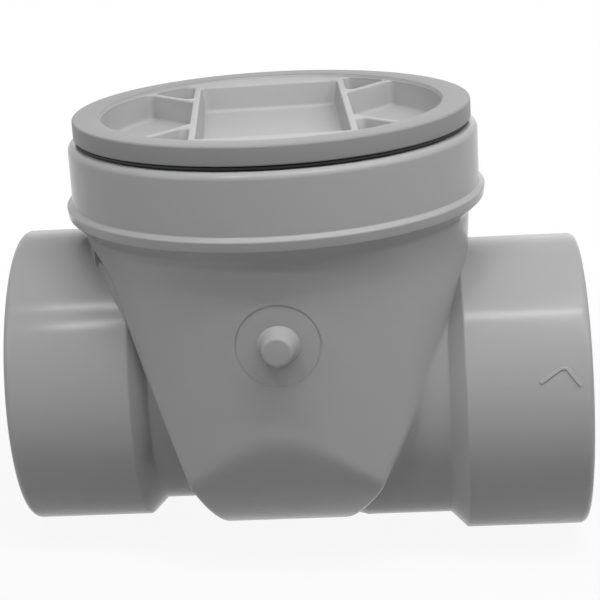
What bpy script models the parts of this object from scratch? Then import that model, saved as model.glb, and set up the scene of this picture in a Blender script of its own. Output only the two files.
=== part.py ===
"""Backwater valve for 4 in drain pipe: moulded body, screw cap and swinging flapper.

Metres, +Z up. Water enters at the -X socket and leaves at the +X socket, which is a little lower.
Sizes are measured from the chamber's upright axis and from the height midway between the two sockets.
The object's origin is the bottom centre of its box.
"""
import math

import bmesh
import bpy
from mathutils import Matrix, Vector

# Sockets and waterway; the pipe's size drives the seat, the chamber and the collar below
CLEARANCE = 0.0003           # gap between pieces that touch
WALL = 0.0050
SOCKET_R = 0.0572            # takes 114.3 mm pipe
SOCKET_DEPTH = 0.0445
SOCKET_LEAD = 0.0015         # chamfer at the mouth
SOCKET_STOP = 0.0064         # step that the pipe's end meets
HUB_WALL = 0.0068
HUB_PAST_SOCKET = 0.0075     # the hub reaches this much further in than its socket
HUB_EDGE_R = 0.0035          # rounding of the hub's outer rim
SHOULDER = 0.0070            # 45 degree step from hub to tube
DROP = 0.0117                # the outlet axis lies this much below the inlet axis
INLET_NECK = 0.0232          # from the inclined wall at mid height to the inlet's pipe stop
OUTLET_PAST_CHAMBER = 0.0473
TUBE_END = 0.0200            # the tubes reach in to this distance from the chamber axis
TUBE_LEAD = 0.0035           # and narrow by this much there, so that they leave the underside gently
INLET_BORE_END = 0.0150      # and the inlet's bore to this one
OUTLET_BORE_END = 0.0160     # the outlet's bore starts narrower, clear of the chamber's floor
OUTLET_THROAT_STEP = 0.0040
OUTLET_THROAT_LENGTH = 0.0140

# Seat, flapper and hinge, measured square to the inclined wall (n) and up along it (u)
SEAT_TILT = math.radians(19.3)
SEAT_STEP = 0.0007           # the seat's bore is this much wider than the waterway
SEAT_WIDTH = 0.0065
SEAT_SINK = 0.0020
SEAT_PROUD = 0.0035
SEAT_EDGE = 0.0008
SEAL_OVERLAP = 0.0050        # of the seal on the seat
SEAL_THICKNESS = 0.0028
SEAL_EDGE = 0.0004
SEAL_MARGIN = 0.0005         # the seal reaches this far past the gate
RETAINER_GAP = 0.0065        # from the retainer's edge to the seat's bore
RETAINER_THICKNESS = 0.0025
RETAINER_EDGE = 0.0006
GATE_THICKNESS = 0.0040
GATE_RIM_WIDTH = 0.0040
GATE_RIM_HEIGHT = 0.0076
GATE_BOSS_R = 0.0090
GATE_RIB_THICKNESS = 0.0030
GATE_RIB_DROP = 0.0010       # the ribs stay this much below the gate's rim
GATE_RIBS = 6
ARM_OVERLAP = 0.0020         # how far ribs run into the rim and boss that they join
ARM_RISE = 0.0004            # the arm stands this much above the rim
ARM_ROOT = 0.0060            # and starts this far inside it
ARM_HALF_WIDTH = 0.0110
SCREW_INSET = 0.0070         # from the retainer's edge to its screws
SCREW_R = 0.0020
SCREW_HEAD_R = 0.0037
SCREW_HEAD_HEIGHT = 0.0026
SCREW_TIP_INSET = 0.0005     # the screws end this far inside the retainer
PIN_R = 0.0030
PIN_RISE = 0.0049            # from the back of the seal to the hinge axis
PIN_PAST_SEAT = 0.0080       # from the seat's outer edge up to the hinge axis
PIN_TAIL = 0.00265           # the pin's end stands this far out of its clip
PIN_CHAMFER = 0.0006
KNUCKLE_WALL = 0.0037
KNUCKLE_PAST_ARM = 0.0045
BUSH_WALL = 0.0012
BUSH_FLANGE_WIDTH = 0.0015
BUSH_FLANGE = 0.0011
EAR_THICKNESS = 0.0040
EAR_WALL = 0.0027
EAR_SETBACK = 0.0005         # the ears' roots stay this far inside the plate's edges
BRACKET_THICKNESS = 0.0030
BRACKET_GAP = 0.0016         # from the seat's outer edge to the bracket
BRACKET_PAST_PIN = 0.0055
BRACKET_END = 0.0060         # from a screw to the plate's end
BRACKET_SCREW_GAP = 0.0008   # from the pin's end to a screw's head
SCREW_FLOOR = 0.0013         # wall left behind the tips of the bracket's screws
CLIP_WIDTH = 0.0027
CLIP_THICKNESS = 0.0012
CLIP_MOUTH = 60.0            # degrees, the open side of the clip

# Chamber
CHAMBER_MARGIN = 0.0240      # from the seat's outer edge to the outside of the chamber
SEAT_WALL_INSET = 0.0360     # from the chamber's outside to the inclined wall at mid height
SEAT_CORNER_R = 0.0110       # rounding between the inclined wall and the floor
FLOOR_DROP = 0.0098          # the underside lies this far below the waterway's radius
RAMP_INSET = 0.0175          # from the chamber's outside to the outlet ramp at its top
RAMP_TILT = math.radians(30.2)
RAMP_TOP_Z = 0.0120
RAMP_CORNER_R = 0.0160
BELLY_SPREAD = 0.0015        # the underside is part of an ellipse across the flow, wider than the chamber
BELLY_CENTRE_Z = 0.0140

# Neck and collar
LEDGE_RISE = 0.0041          # the neck's overhang starts this far above the inlet hub's top
LEDGE_THICKNESS = 0.0060
LEDGE_CORNER_R = 0.0240      # rounding between the inclined wall and the overhang
LEDGE_EDGE_R = 0.0015        # and of the shelf inside
NECK_FOOT_DROP = 0.0121      # the neck's draft starts this far below the ledge
NECK_TOP_RISE = 0.0027
NECK_DRAFT = 0.0008
BEAD_R = 0.0050
BEAD_RISE = 0.0118           # from the ledge to the bead's centre
BEAD_INSET = 0.0024          # from the collar's outside to the bead's centre
COLLAR_WALL = 0.0098
COLLAR_EDGE = 0.0010
THREAD_RISE = 0.0160         # from the ledge to the foot of the thread
THREAD_LENGTH = 0.0226       # plain bore that stands for the collar's thread
THREAD_STEP = 0.0006
THREAD_GAP = 0.0016          # room for the cap's own thread
SKIRT_THICKNESS = 0.0025      # strip of neck wall that comes down to the inlet hub
SKIRT_HALF_WIDTH = 0.0300
SKIRT_WEB_HALF_WIDTH = 0.0520 # its lower part runs on to the sump's edges, under a window on each side
SKIRT_WEB_DROP = 0.0079       # the windows' sills lie this far below the hub's top
SKIRT_WEB_SETBACK = 0.0015
SKIRT_WEB_FOOT_Z = 0.0400     # inside the hub

# Front boss
BOSS_X = 0.0025
BOSS_Z = 0.0410
BOSS_FOOT_R = 0.0077
BOSS_FACE_R = 0.0060
BOSS_HEIGHT = 0.0080
BOSS_RECESS_R = 0.0172
BOSS_RECESS_DEPTH = 0.0007

# Ring and cap
RING_THICKNESS = 0.0016
RING_WIDTH = 0.0052
FLANGE_OVERHANG = 0.0009
FLANGE_THICKNESS = 0.0080
FLANGE_EDGE = 0.0009
CAP_SKIRT_WALL = 0.0055
CAP_FLOOR_THICKNESS = 0.0035
CAP_TURN = math.radians(4.0) # how far the cap is turned at rest
GRIP_SIDE_WALL = 0.0030      # between the grip recess and the skirt's outside
GRIP_STEP = 0.0014           # the grip walls stop this far below the rim
GRIP_DEPTH = 0.0128
GRIP_DRAFT = 0.0022          # the recess is this much narrower at its floor
GRIP_WALL = 0.0030
CHANNEL_HALF_WIDTH = 0.0310
CHANNEL_END_WALL = 0.0150
GRIP_RIB_ROOT_Y = 0.0270     # where a slanting rib leaves the channel wall
GRIP_RIB_ANGLE = math.radians(43.0)  # where it meets the recess's rim

# Facets
ROUND_STEPS = 64
HUB_STEPS = 56
SEAT_STEPS = 48
SMALL_STEPS = 20
SCREW_STEPS = 12
FAR = 0.20                   # how far a cutter reaches past the part

# Sizes and places worked out from the ones above
BORE_R = SOCKET_R - SOCKET_STOP
HUB_R = SOCKET_R + HUB_WALL
HUB_LENGTH = SOCKET_DEPTH + HUB_PAST_SOCKET
TUBE_R = HUB_R - SHOULDER
INLET_Z = DROP / 2
OUTLET_Z = -DROP / 2
SEAT_R = BORE_R + SEAT_STEP
SEAT_OUTER_R = SEAT_R + SEAT_WIDTH
SEAL_R = SEAT_R + SEAL_OVERLAP
GATE_R = SEAL_R - SEAL_MARGIN
RETAINER_R = SEAT_R - RETAINER_GAP
SCREW_CIRCLE_R = RETAINER_R - SCREW_INSET
SEAL_N = SEAT_PROUD + CLEARANCE
GATE_N = SEAL_N + SEAL_THICKNESS + CLEARANCE
RETAINER_N = SEAL_N - CLEARANCE - RETAINER_THICKNESS
HOLE_R = SCREW_R + CLEARANCE
PIN_N = GATE_N + PIN_RISE
PIN_U = SEAT_OUTER_R + PIN_PAST_SEAT
PIN_BORE_R = PIN_R + CLEARANCE
KNUCKLE_R = PIN_BORE_R + KNUCKLE_WALL
KNUCKLE_HALF_LENGTH = ARM_HALF_WIDTH + KNUCKLE_PAST_ARM
BUSH_R = PIN_BORE_R + BUSH_WALL
BUSH_BORE_R = BUSH_R + CLEARANCE
BUSH_FLANGE_R = BUSH_R + BUSH_FLANGE_WIDTH
BUSH_FOOT_Y = KNUCKLE_HALF_LENGTH + 1.5 * CLEARANCE
EAR_R = BUSH_BORE_R + EAR_WALL
EAR_Y = BUSH_FOOT_Y + BUSH_FLANGE + CLEARANCE
CLIP_R = PIN_BORE_R + CLIP_WIDTH
CLIP_Y = EAR_Y + EAR_THICKNESS + CLEARANCE
PIN_HALF_LENGTH = CLIP_Y + CLIP_THICKNESS + PIN_TAIL
BRACKET_SCREW_Y = PIN_HALF_LENGTH + SCREW_HEAD_R + BRACKET_SCREW_GAP
BRACKET_SCREW_DEPTH = WALL - SCREW_FLOOR
BRACKET_HALF_WIDTH = BRACKET_SCREW_Y + BRACKET_END
BRACKET_FOOT_U = SEAT_OUTER_R + BRACKET_GAP
BRACKET_TOP_U = PIN_U + BRACKET_PAST_PIN
CHAMBER_R = SEAT_OUTER_R + CHAMBER_MARGIN
SEAT_WALL_X = SEAT_WALL_INSET - CHAMBER_R
SEAT_POINT_X = SEAT_WALL_X - INLET_Z * math.tan(SEAT_TILT) + WALL / math.cos(SEAT_TILT)
INLET_REACH = INLET_NECK + SOCKET_DEPTH - SEAT_WALL_X    # chamber axis to the inlet end
OUTLET_REACH = CHAMBER_R + OUTLET_PAST_CHAMBER           # chamber axis to the outlet end
FLOOR_Z = -BORE_R - FLOOR_DROP
RAMP_X = CHAMBER_R - RAMP_INSET
BELLY_HALF_WIDTH = CHAMBER_R + BELLY_SPREAD
LEDGE_Z = INLET_Z + HUB_R + LEDGE_RISE
NECK_FOOT_Z = LEDGE_Z - NECK_FOOT_DROP
NECK_TOP_Z = LEDGE_Z + NECK_TOP_RISE
BEAD_CENTRE_Z = LEDGE_Z + BEAD_RISE
THREAD_R = CHAMBER_R - WALL + THREAD_STEP
THREAD_FOOT_Z = LEDGE_Z + THREAD_RISE
COLLAR_R = THREAD_R + COLLAR_WALL
COLLAR_TOP_Z = THREAD_FOOT_Z + THREAD_LENGTH
BEAD_CENTRE_R = COLLAR_R - BEAD_INSET
RING_INNER_R = THREAD_R + COLLAR_EDGE
RING_OUTER_R = RING_INNER_R + RING_WIDTH
FLANGE_R = RING_OUTER_R + FLANGE_OVERHANG
FLANGE_FOOT_Z = COLLAR_TOP_Z + RING_THICKNESS + 2 * CLEARANCE
CAP_TOP_Z = FLANGE_FOOT_Z + FLANGE_THICKNESS
CAP_SKIRT_R = THREAD_R - THREAD_GAP
GRIP_R = CAP_SKIRT_R - GRIP_SIDE_WALL
CHANNEL_HALF_LENGTH = GRIP_R - CHANNEL_END_WALL
ORIGIN = Vector(((INLET_REACH - OUTLET_REACH) / 2, 0.0, DROP / 2 + HUB_R))


def material(name, colour, roughness, metallic=0.0):
    """A plain Principled material."""
    mat = bpy.data.materials.new(name)
    mat.use_nodes = True
    shader = mat.node_tree.nodes["Principled BSDF"]
    shader.inputs["Base Color"].default_value = (*colour, 1.0)
    shader.inputs["Roughness"].default_value = roughness
    shader.inputs["Metallic"].default_value = metallic
    mat.diffuse_color = (*colour, 1.0)
    return mat


def empty(name, location, tilt=0.0, turn=0.0, parent=None):
    """A frame that pieces are placed in, tilted about Y or turned about Z."""
    frame = bpy.data.objects.new(name, None)
    bpy.context.collection.objects.link(frame)
    frame.location = location
    frame.rotation_euler = (0.0, tilt, turn)
    frame.parent = parent
    return frame


def place(name, bm, parent, mat=None):
    """Turn a bmesh into an object; one without a material is a cutter and isn't part of the object."""
    bmesh.ops.remove_doubles(bm, verts=bm.verts, dist=1e-6)
    bmesh.ops.recalc_face_normals(bm, faces=bm.faces)
    mesh = bpy.data.meshes.new(name)
    bm.to_mesh(mesh)
    bm.free()
    obj = bpy.data.objects.new(name, mesh)
    bpy.context.collection.objects.link(obj)
    obj.parent = parent
    if mat is None:
        obj.hide_render = True
        obj.display_type = "WIRE"
    else:
        mesh.materials.append(mat)
        mesh.shade_smooth()
        mesh.set_sharp_from_angle(angle=math.radians(35))
    return obj


def combine(obj, tool, operation):
    """Add a Boolean modifier: UNION, DIFFERENCE or INTERSECT."""
    modifier = obj.modifiers.new(tool.name, "BOOLEAN")
    modifier.operation = operation
    modifier.object = tool
    modifier.solver = "EXACT"


def arc(centre, radius, start, end, steps):
    """Points on an arc, both ends included, with angles in degrees."""
    angles = [math.radians(start + (end - start) * i / steps) for i in range(steps + 1)]
    return [(centre[0] + radius * math.cos(a), centre[1] + radius * math.sin(a)) for a in angles]


def fillet(before, corner, after, radius, steps=5):
    """Points that round the corner between two straight stretches."""
    corner = Vector(corner)
    to_before = (Vector(before) - corner).normalized()
    to_after = (Vector(after) - corner).normalized()
    half = to_before.angle(to_after) / 2
    centre = corner + (to_before + to_after).normalized() * radius / math.sin(half)
    first = corner + to_before * radius / math.tan(half) - centre
    turn = first.angle_signed(corner + to_after * radius / math.tan(half) - centre)
    points = []
    for i in range(steps + 1):
        spoke = first.copy()
        spoke.rotate(Matrix.Rotation(-turn * i / steps, 2))
        points.append(tuple(centre + spoke))
    return points


def turned(profile, steps, axis="Z", centre=(0.0, 0.0, 0.0), sweep=(0.0, 360.0)):
    """Spin a closed profile of (radius, distance along the axis) about an axis through centre."""
    bm = bmesh.new()
    verts = [bm.verts.new((r, 0.0, h)) for r, h in profile]
    edges = [bm.edges.new((verts[i - 1], verts[i])) for i in range(len(verts))]
    full = sweep[1] - sweep[0] >= 360.0
    if not full:
        bm.faces.new(verts)
    bmesh.ops.rotate(bm, verts=bm.verts, cent=(0, 0, 0),
                     matrix=Matrix.Rotation(math.radians(sweep[0]), 3, "Z"))
    spun = bmesh.ops.spin(bm, geom=verts + edges, cent=(0, 0, 0), axis=(0, 0, 1), dvec=(0, 0, 0),
                          angle=math.radians(sweep[1] - sweep[0]), steps=steps, use_merge=full)
    if full:
        # Flat ends become one face each, without the fan that meets on the axis
        bmesh.ops.remove_doubles(bm, verts=bm.verts, dist=1e-6)
        bmesh.ops.dissolve_verts(bm, verts=[v for v in bm.verts if v.co.xy.length < 1e-7])
    else:
        bm.faces.new([v for v in spun["geom_last"] if isinstance(v, bmesh.types.BMVert)])
    turn = {"X": Matrix.Rotation(math.pi / 2, 3, "Y"), "Y": Matrix.Rotation(-math.pi / 2, 3, "X"),
            "Z": Matrix.Identity(3)}[axis]
    bmesh.ops.rotate(bm, verts=bm.verts, cent=(0, 0, 0), matrix=turn)
    bmesh.ops.translate(bm, verts=bm.verts, vec=centre)
    return bm


def prism(outline, low, high, along="Y", low_outline=None):
    """A closed outline drawn across one axis and lofted along it; low_outline tapers its low end."""
    def point(a, b, c):
        return {"X": (c, a, b), "Y": (a, c, b), "Z": (a, b, c)}[along]
    bm = bmesh.new()
    bottom = [bm.verts.new(point(a, b, low)) for a, b in (low_outline or outline)]
    top = [bm.verts.new(point(a, b, high)) for a, b in outline]
    bm.faces.new(bottom)
    bm.faces.new(top)
    for i in range(len(top)):
        bm.faces.new((bottom[i - 1], bottom[i], top[i], top[i - 1]))
    return bm


def box(x, y, z):
    """A box from its low and high limits on each axis."""
    return prism([(x[0], z[0]), (x[1], z[0]), (x[1], z[1]), (x[0], z[1])], y[0], y[1])


def pin_profile(radius, low, high, chamfer=0.0):
    """Profile of a plain round bar."""
    if chamfer == 0.0:
        return [(0.0, low), (radius, low), (radius, high), (0.0, high)]
    return [(0.0, low), (radius - chamfer, low), (radius, low + chamfer),
            (radius, high - chamfer), (radius - chamfer, high), (0.0, high)]


def outside_of_chamber(name, inset, ledge_z, ledge_r, parent):
    """What is cut off an upright cylinder, seen along Y: inclined wall, floor and outlet ramp."""
    def wall(z):
        return SEAT_WALL_X - z * math.tan(SEAT_TILT) + inset / math.cos(SEAT_TILT)

    def ramp(z):
        return RAMP_X + (z - RAMP_TOP_Z) * math.tan(RAMP_TILT) - inset / math.cos(RAMP_TILT)
    # The floor of this outline stays just below the belly's own lowest line
    floor = FLOOR_Z + inset - CLEARANCE / 2
    ramp_top = RAMP_TOP_Z + inset
    wall_top = (wall(ledge_z), ledge_z)
    wall_foot = (wall(floor), floor)
    ramp_foot = (ramp(floor), floor)
    ramp_head = (ramp(ramp_top), ramp_top)
    outline = [(-FAR, ledge_z)]
    outline += fillet((-FAR, ledge_z), wall_top, wall_foot, ledge_r)
    outline += fillet(wall_top, wall_foot, ramp_foot, SEAT_CORNER_R - inset)
    outline += fillet(wall_foot, ramp_foot, ramp_head, RAMP_CORNER_R - inset)
    outline += [ramp_head, (FAR, ramp_top), (FAR, -FAR), (-FAR, -FAR)]
    return place(name, prism(outline, -FAR, FAR), parent)


def outside_of_belly(name, inset, parent):
    """What is cut off below, seen along X: everything outside the half-ellipse underside."""
    half_width = BELLY_HALF_WIDTH - inset
    depth = BELLY_CENTRE_Z - FLOOR_Z - inset
    steps = 28
    curve = []
    for i in range(steps + 1):
        angle = math.pi * i / steps
        curve.append((-half_width * math.cos(angle), BELLY_CENTRE_Z - depth * math.sin(angle)))
    outline = [(-FAR, BELLY_CENTRE_Z)] + curve + [(FAR, BELLY_CENTRE_Z), (FAR, -FAR), (-FAR, -FAR)]
    return place(name, prism(outline, -FAR, FAR, along="X"), parent)


def hub(name, reach, height, parent):
    """Outside of a socket hub and its tube, turned about the waterway; reach < 0 is the inlet."""
    side = 1.0 if reach > 0 else -1.0
    far = abs(reach)
    shoulder = far - HUB_LENGTH
    profile = [(0.0, TUBE_END), (TUBE_R - TUBE_LEAD, TUBE_END), (TUBE_R, TUBE_END + 4 * TUBE_LEAD),
               (TUBE_R, shoulder - SHOULDER), (HUB_R, shoulder)]
    profile += arc((HUB_R - HUB_EDGE_R, far - HUB_EDGE_R), HUB_EDGE_R, 0, 90, 4)
    profile += [(0.0, far)]
    profile = [(r, side * h) for r, h in profile]
    return place(name, turned(profile, HUB_STEPS, "X", (0.0, 0.0, height)), parent)


def waterway(name, reach, height, inner_profile, parent):
    """Socket and bore to cut out of a hub; inner_profile ends the bore inside the chamber."""
    side = 1.0 if reach > 0 else -1.0
    far = abs(reach)
    stop = far - SOCKET_DEPTH
    mouth = SOCKET_R + SOCKET_LEAD
    profile = inner_profile + [(BORE_R, stop), (SOCKET_R, stop), (SOCKET_R, far - SOCKET_LEAD),
                               (mouth, far), (mouth, far + SOCKET_LEAD), (0.0, far + SOCKET_LEAD)]
    profile = [(r, side * h) for r, h in profile]
    return place(name, turned(profile, HUB_STEPS, "X", (0.0, 0.0, height)), parent)


def chamber_form(parent, mat):
    """The solid outside of chamber, neck, bead and collar."""
    below = FLOOR_Z - WALL
    profile = [(0.0, below), (CHAMBER_R, below), (CHAMBER_R, NECK_FOOT_Z),
               (CHAMBER_R + NECK_DRAFT, NECK_TOP_Z)]
    bead_end = math.degrees(math.acos(BEAD_INSET / BEAD_R))
    profile += arc((BEAD_CENTRE_R, BEAD_CENTRE_Z), BEAD_R, -45, bead_end, 7)
    profile += [(COLLAR_R, COLLAR_TOP_Z - COLLAR_EDGE), (COLLAR_R - COLLAR_EDGE, COLLAR_TOP_Z),
                (0.0, COLLAR_TOP_Z)]
    form = place("valve_body", turned(profile, ROUND_STEPS), parent, mat)
    outline = outside_of_chamber("chamber_outline", 0.0, LEDGE_Z, LEDGE_CORNER_R, parent)
    combine(form, outline, "DIFFERENCE")
    combine(form, outside_of_belly("belly_outline", 0.0, parent), "DIFFERENCE")
    return form


def chamber_void(parent):
    """The space inside chamber, neck and collar, with the ledge above the inclined wall."""
    bore = CHAMBER_R - WALL
    below = FLOOR_Z
    above = COLLAR_TOP_Z + COLLAR_EDGE
    profile = [(0.0, below), (bore, below), (bore, THREAD_FOOT_Z - THREAD_STEP),
               (THREAD_R, THREAD_FOOT_Z), (THREAD_R, COLLAR_TOP_Z - COLLAR_EDGE),
               (THREAD_R + COLLAR_EDGE, COLLAR_TOP_Z),
               (THREAD_R + COLLAR_EDGE, above), (0.0, above)]
    void = place("chamber_void", turned(profile, ROUND_STEPS), parent)
    ledge_top = LEDGE_Z + LEDGE_THICKNESS
    combine(void, outside_of_chamber("void_outline", WALL, ledge_top, LEDGE_EDGE_R, parent), "DIFFERENCE")
    combine(void, outside_of_belly("void_belly", WALL, parent), "DIFFERENCE")
    return void


def skirt_strip(name, outer, half_width, foot, head, steps, parent):
    """A strip of thin upright wall round the inlet side, from foot to head."""
    half = math.degrees(math.asin(half_width / CHAMBER_R))
    inner = outer - SKIRT_THICKNESS
    profile = [(inner, foot), (outer, foot), (outer, head), (inner, head)]
    return place(name, turned(profile, steps, sweep=(180 - half, 180 + half)), parent)


def skirt(parent):
    """The neck's thin wall down to the inlet hub, and the lower web that closes its sides."""
    strip = skirt_strip("skirt", CHAMBER_R - CLEARANCE, SKIRT_HALF_WIDTH, INLET_Z + SOCKET_R - WALL,
                        LEDGE_Z + LEDGE_THICKNESS / 2, 14, parent)
    web = skirt_strip("skirt_web", CHAMBER_R - SKIRT_WEB_SETBACK, SKIRT_WEB_HALF_WIDTH, SKIRT_WEB_FOOT_Z,
                      INLET_Z + HUB_R - SKIRT_WEB_DROP, 22, parent)
    return strip, web


def boss(parent):
    """The small round boss on the front and the shallow round recess that it stands in."""
    wall_y = -CHAMBER_R
    recess = place("boss_recess", turned(pin_profile(BOSS_RECESS_R, wall_y - WALL, wall_y + WALL), 48,
                                         "Y", (BOSS_X, 0.0, BOSS_Z)), parent)
    kept = place("boss_recess_floor", turned(pin_profile(CHAMBER_R - BOSS_RECESS_DEPTH, -CHAMBER_R,
                                                         CHAMBER_R), ROUND_STEPS), parent)
    combine(recess, kept, "DIFFERENCE")
    profile = [(0.0, wall_y + WALL / 2), (BOSS_FOOT_R, wall_y + WALL / 2),
               (BOSS_FACE_R, wall_y - BOSS_HEIGHT), (0.0, wall_y - BOSS_HEIGHT)]
    stud = place("boss", turned(profile, SMALL_STEPS, "Y", (BOSS_X, 0.0, BOSS_Z)), parent)
    return recess, stud


def make_body(valve, seat, mat):
    """The moulded body: outside forms joined, then the waterway and fixings cut."""
    body = chamber_form(valve, mat)
    combine(body, hub("inlet_hub", -INLET_REACH, INLET_Z, valve), "UNION")
    combine(body, hub("outlet_hub", OUTLET_REACH, OUTLET_Z, valve), "UNION")
    for strip in skirt(valve):
        combine(body, strip, "UNION")
    recess, stud = boss(valve)
    combine(body, recess, "DIFFERENCE")
    combine(body, stud, "UNION")
    combine(body, chamber_void(valve), "DIFFERENCE")
    inlet_end = [(0.0, INLET_BORE_END), (BORE_R, INLET_BORE_END)]
    outlet_end = [(0.0, OUTLET_BORE_END), (BORE_R - OUTLET_THROAT_STEP, OUTLET_BORE_END),
                  (BORE_R, OUTLET_BORE_END + OUTLET_THROAT_LENGTH)]
    combine(body, waterway("inlet_waterway", -INLET_REACH, INLET_Z, inlet_end, valve), "DIFFERENCE")
    combine(body, waterway("outlet_waterway", OUTLET_REACH, OUTLET_Z, outlet_end, valve), "DIFFERENCE")
    seat_groove = [(0.0, -SEAT_SINK), (SEAT_OUTER_R + CLEARANCE, -SEAT_SINK),
                   (SEAT_OUTER_R + CLEARANCE, WALL), (0.0, WALL)]
    combine(body, place("seat_groove", turned(seat_groove, SEAT_STEPS, "X"), seat), "DIFFERENCE")
    for side, label in ((-1, "right"), (1, "left")):
        hole = turned(pin_profile(HOLE_R, -BRACKET_SCREW_DEPTH - CLEARANCE, WALL), SCREW_STEPS, "X",
                      (0.0, side * BRACKET_SCREW_Y, PIN_U))
        combine(body, place("bracket_hole_" + label, hole, seat), "DIFFERENCE")
    return body


def grip_outlines(grow):
    """Outlines of the cap's recesses: channel, one side pocket and one corner pocket, grown by grow."""
    rim = GRIP_R + grow
    wall_x = CHANNEL_HALF_WIDTH + GRIP_WALL - grow
    root = Vector((CHANNEL_HALF_WIDTH + GRIP_WALL, GRIP_RIB_ROOT_Y))
    tip = Vector((GRIP_R * math.cos(GRIP_RIB_ANGLE), GRIP_R * math.sin(GRIP_RIB_ANGLE)))
    along = (tip - root).normalized()
    across = Vector((-along.y, along.x))

    def face_points(offset):
        """Where a rib face meets the channel wall and the rim."""
        start = root + across * offset
        low = start + along * ((wall_x - start.x) / along.x)
        half = start.dot(along)
        high = start + along * (-half + math.sqrt(half * half - start.dot(start) + rim * rim))
        return low, high
    inner_low, inner_high = face_points(-GRIP_WALL / 2 + grow)
    outer_low, outer_high = face_points(GRIP_WALL / 2 - grow)
    half_width = CHANNEL_HALF_WIDTH + grow
    half_length = CHANNEL_HALF_LENGTH + grow
    channel = [(-half_width, -half_length), (half_width, -half_length), (half_width, half_length),
               (-half_width, half_length)]
    reach = math.degrees(math.atan2(inner_high.y, inner_high.x))
    pocket = [(inner_low.x, -inner_low.y)] + arc((0, 0), rim, -reach, reach, 16) + [tuple(inner_low)]
    start = math.degrees(math.atan2(outer_high.y, outer_high.x))
    end = math.degrees(math.acos(wall_x / rim))
    corner = [tuple(outer_low)] + arc((0, 0), rim, start, end, 4)
    return channel, pocket, corner


def make_cap(cap, mat):
    """The screw cap: flange, skirt and the recesses that a bar turns it by."""
    skirt_foot = THREAD_FOOT_Z
    skirt_inner = CAP_SKIRT_R - CAP_SKIRT_WALL
    grip_floor = CAP_TOP_Z - GRIP_DEPTH
    under_floor = grip_floor - CAP_FLOOR_THICKNESS
    edge = FLANGE_EDGE
    profile = [(0.0, under_floor), (skirt_inner, under_floor), (skirt_inner, skirt_foot),
               (CAP_SKIRT_R - edge, skirt_foot), (CAP_SKIRT_R, skirt_foot + edge),
               (CAP_SKIRT_R, FLANGE_FOOT_Z), (FLANGE_R - edge / 2, FLANGE_FOOT_Z),
               (FLANGE_R, FLANGE_FOOT_Z + edge / 2), (FLANGE_R, CAP_TOP_Z - edge),
               (FLANGE_R - edge, CAP_TOP_Z), (GRIP_R, CAP_TOP_Z), (GRIP_R, CAP_TOP_Z - GRIP_STEP),
               (0.0, CAP_TOP_Z - GRIP_STEP)]
    obj = place("access_cap", turned(profile, ROUND_STEPS), cap, mat)
    top = grip_outlines(0.0)
    floor = grip_outlines(-GRIP_DRAFT / 2)
    above = grip_outlines(GRIP_DRAFT / 10)
    names = ("channel", "side_pocket", "corner_pocket")
    for name, outline, low, high in zip(names, top, floor, above):
        mirrors = {"channel": [(1, 1)], "side_pocket": [(1, 1), (-1, 1)],
                   "corner_pocket": [(1, 1), (-1, 1), (-1, -1), (1, -1)]}[name]
        for sx, sy in mirrors:
            foot = [(sx * x, sy * y) for x, y in low]
            head = [(sx * x, sy * y) for x, y in high]
            tool = prism(head, grip_floor, CAP_TOP_Z - GRIP_STEP + GRIP_DRAFT / 2, "Z", foot)
            label = "%s_%d%d" % (name, sx, sy)
            combine(obj, place(label.replace("-", "m"), tool, cap), "DIFFERENCE")
    return obj


def make_ring(cap, mat):
    """The rubber ring between the cap's flange and the collar."""
    low = COLLAR_TOP_Z + CLEARANCE
    high = low + RING_THICKNESS
    soft = RING_THICKNESS / 4
    profile = [(RING_INNER_R, low), (RING_OUTER_R - soft, low), (RING_OUTER_R, low + soft),
               (RING_OUTER_R, high - soft), (RING_OUTER_R - soft, high), (RING_INNER_R, high)]
    return place("cap_o_ring", turned(profile, ROUND_STEPS), cap, mat)


def make_seat(seat, mat):
    """The smooth ring let into the inclined wall that the flapper closes on."""
    low = CLEARANCE - SEAT_SINK
    shoulder = SEAT_PROUD - SEAT_EDGE
    profile = [(SEAT_R, low), (SEAT_OUTER_R, low), (SEAT_OUTER_R, shoulder),
               (SEAT_OUTER_R - SEAT_EDGE, SEAT_PROUD), (SEAT_R + SEAT_EDGE, SEAT_PROUD),
               (SEAT_R, shoulder)]
    return place("seat_ring", turned(profile, SEAT_STEPS, "X"), seat, mat)


def screw_places():
    """Centres of the screws round the gate, as (across, up) from the gate's centre."""
    count = GATE_RIBS
    angles = [2 * math.pi * i / count for i in range(count)]
    return [(SCREW_CIRCLE_R * math.cos(a), SCREW_CIRCLE_R * math.sin(a)) for a in angles]


def drill(obj, parent, low, high):
    """Cut the ring of screw holes, between two depths measured from the wall."""
    for number, (y, u) in enumerate(screw_places()):
        hole = turned(pin_profile(HOLE_R, low - PIN_N, high - PIN_N), SCREW_STEPS, "X", (0.0, y, u - PIN_U))
        combine(obj, place("%s_hole_%d" % (obj.name, number), hole, parent), "DIFFERENCE")


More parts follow.
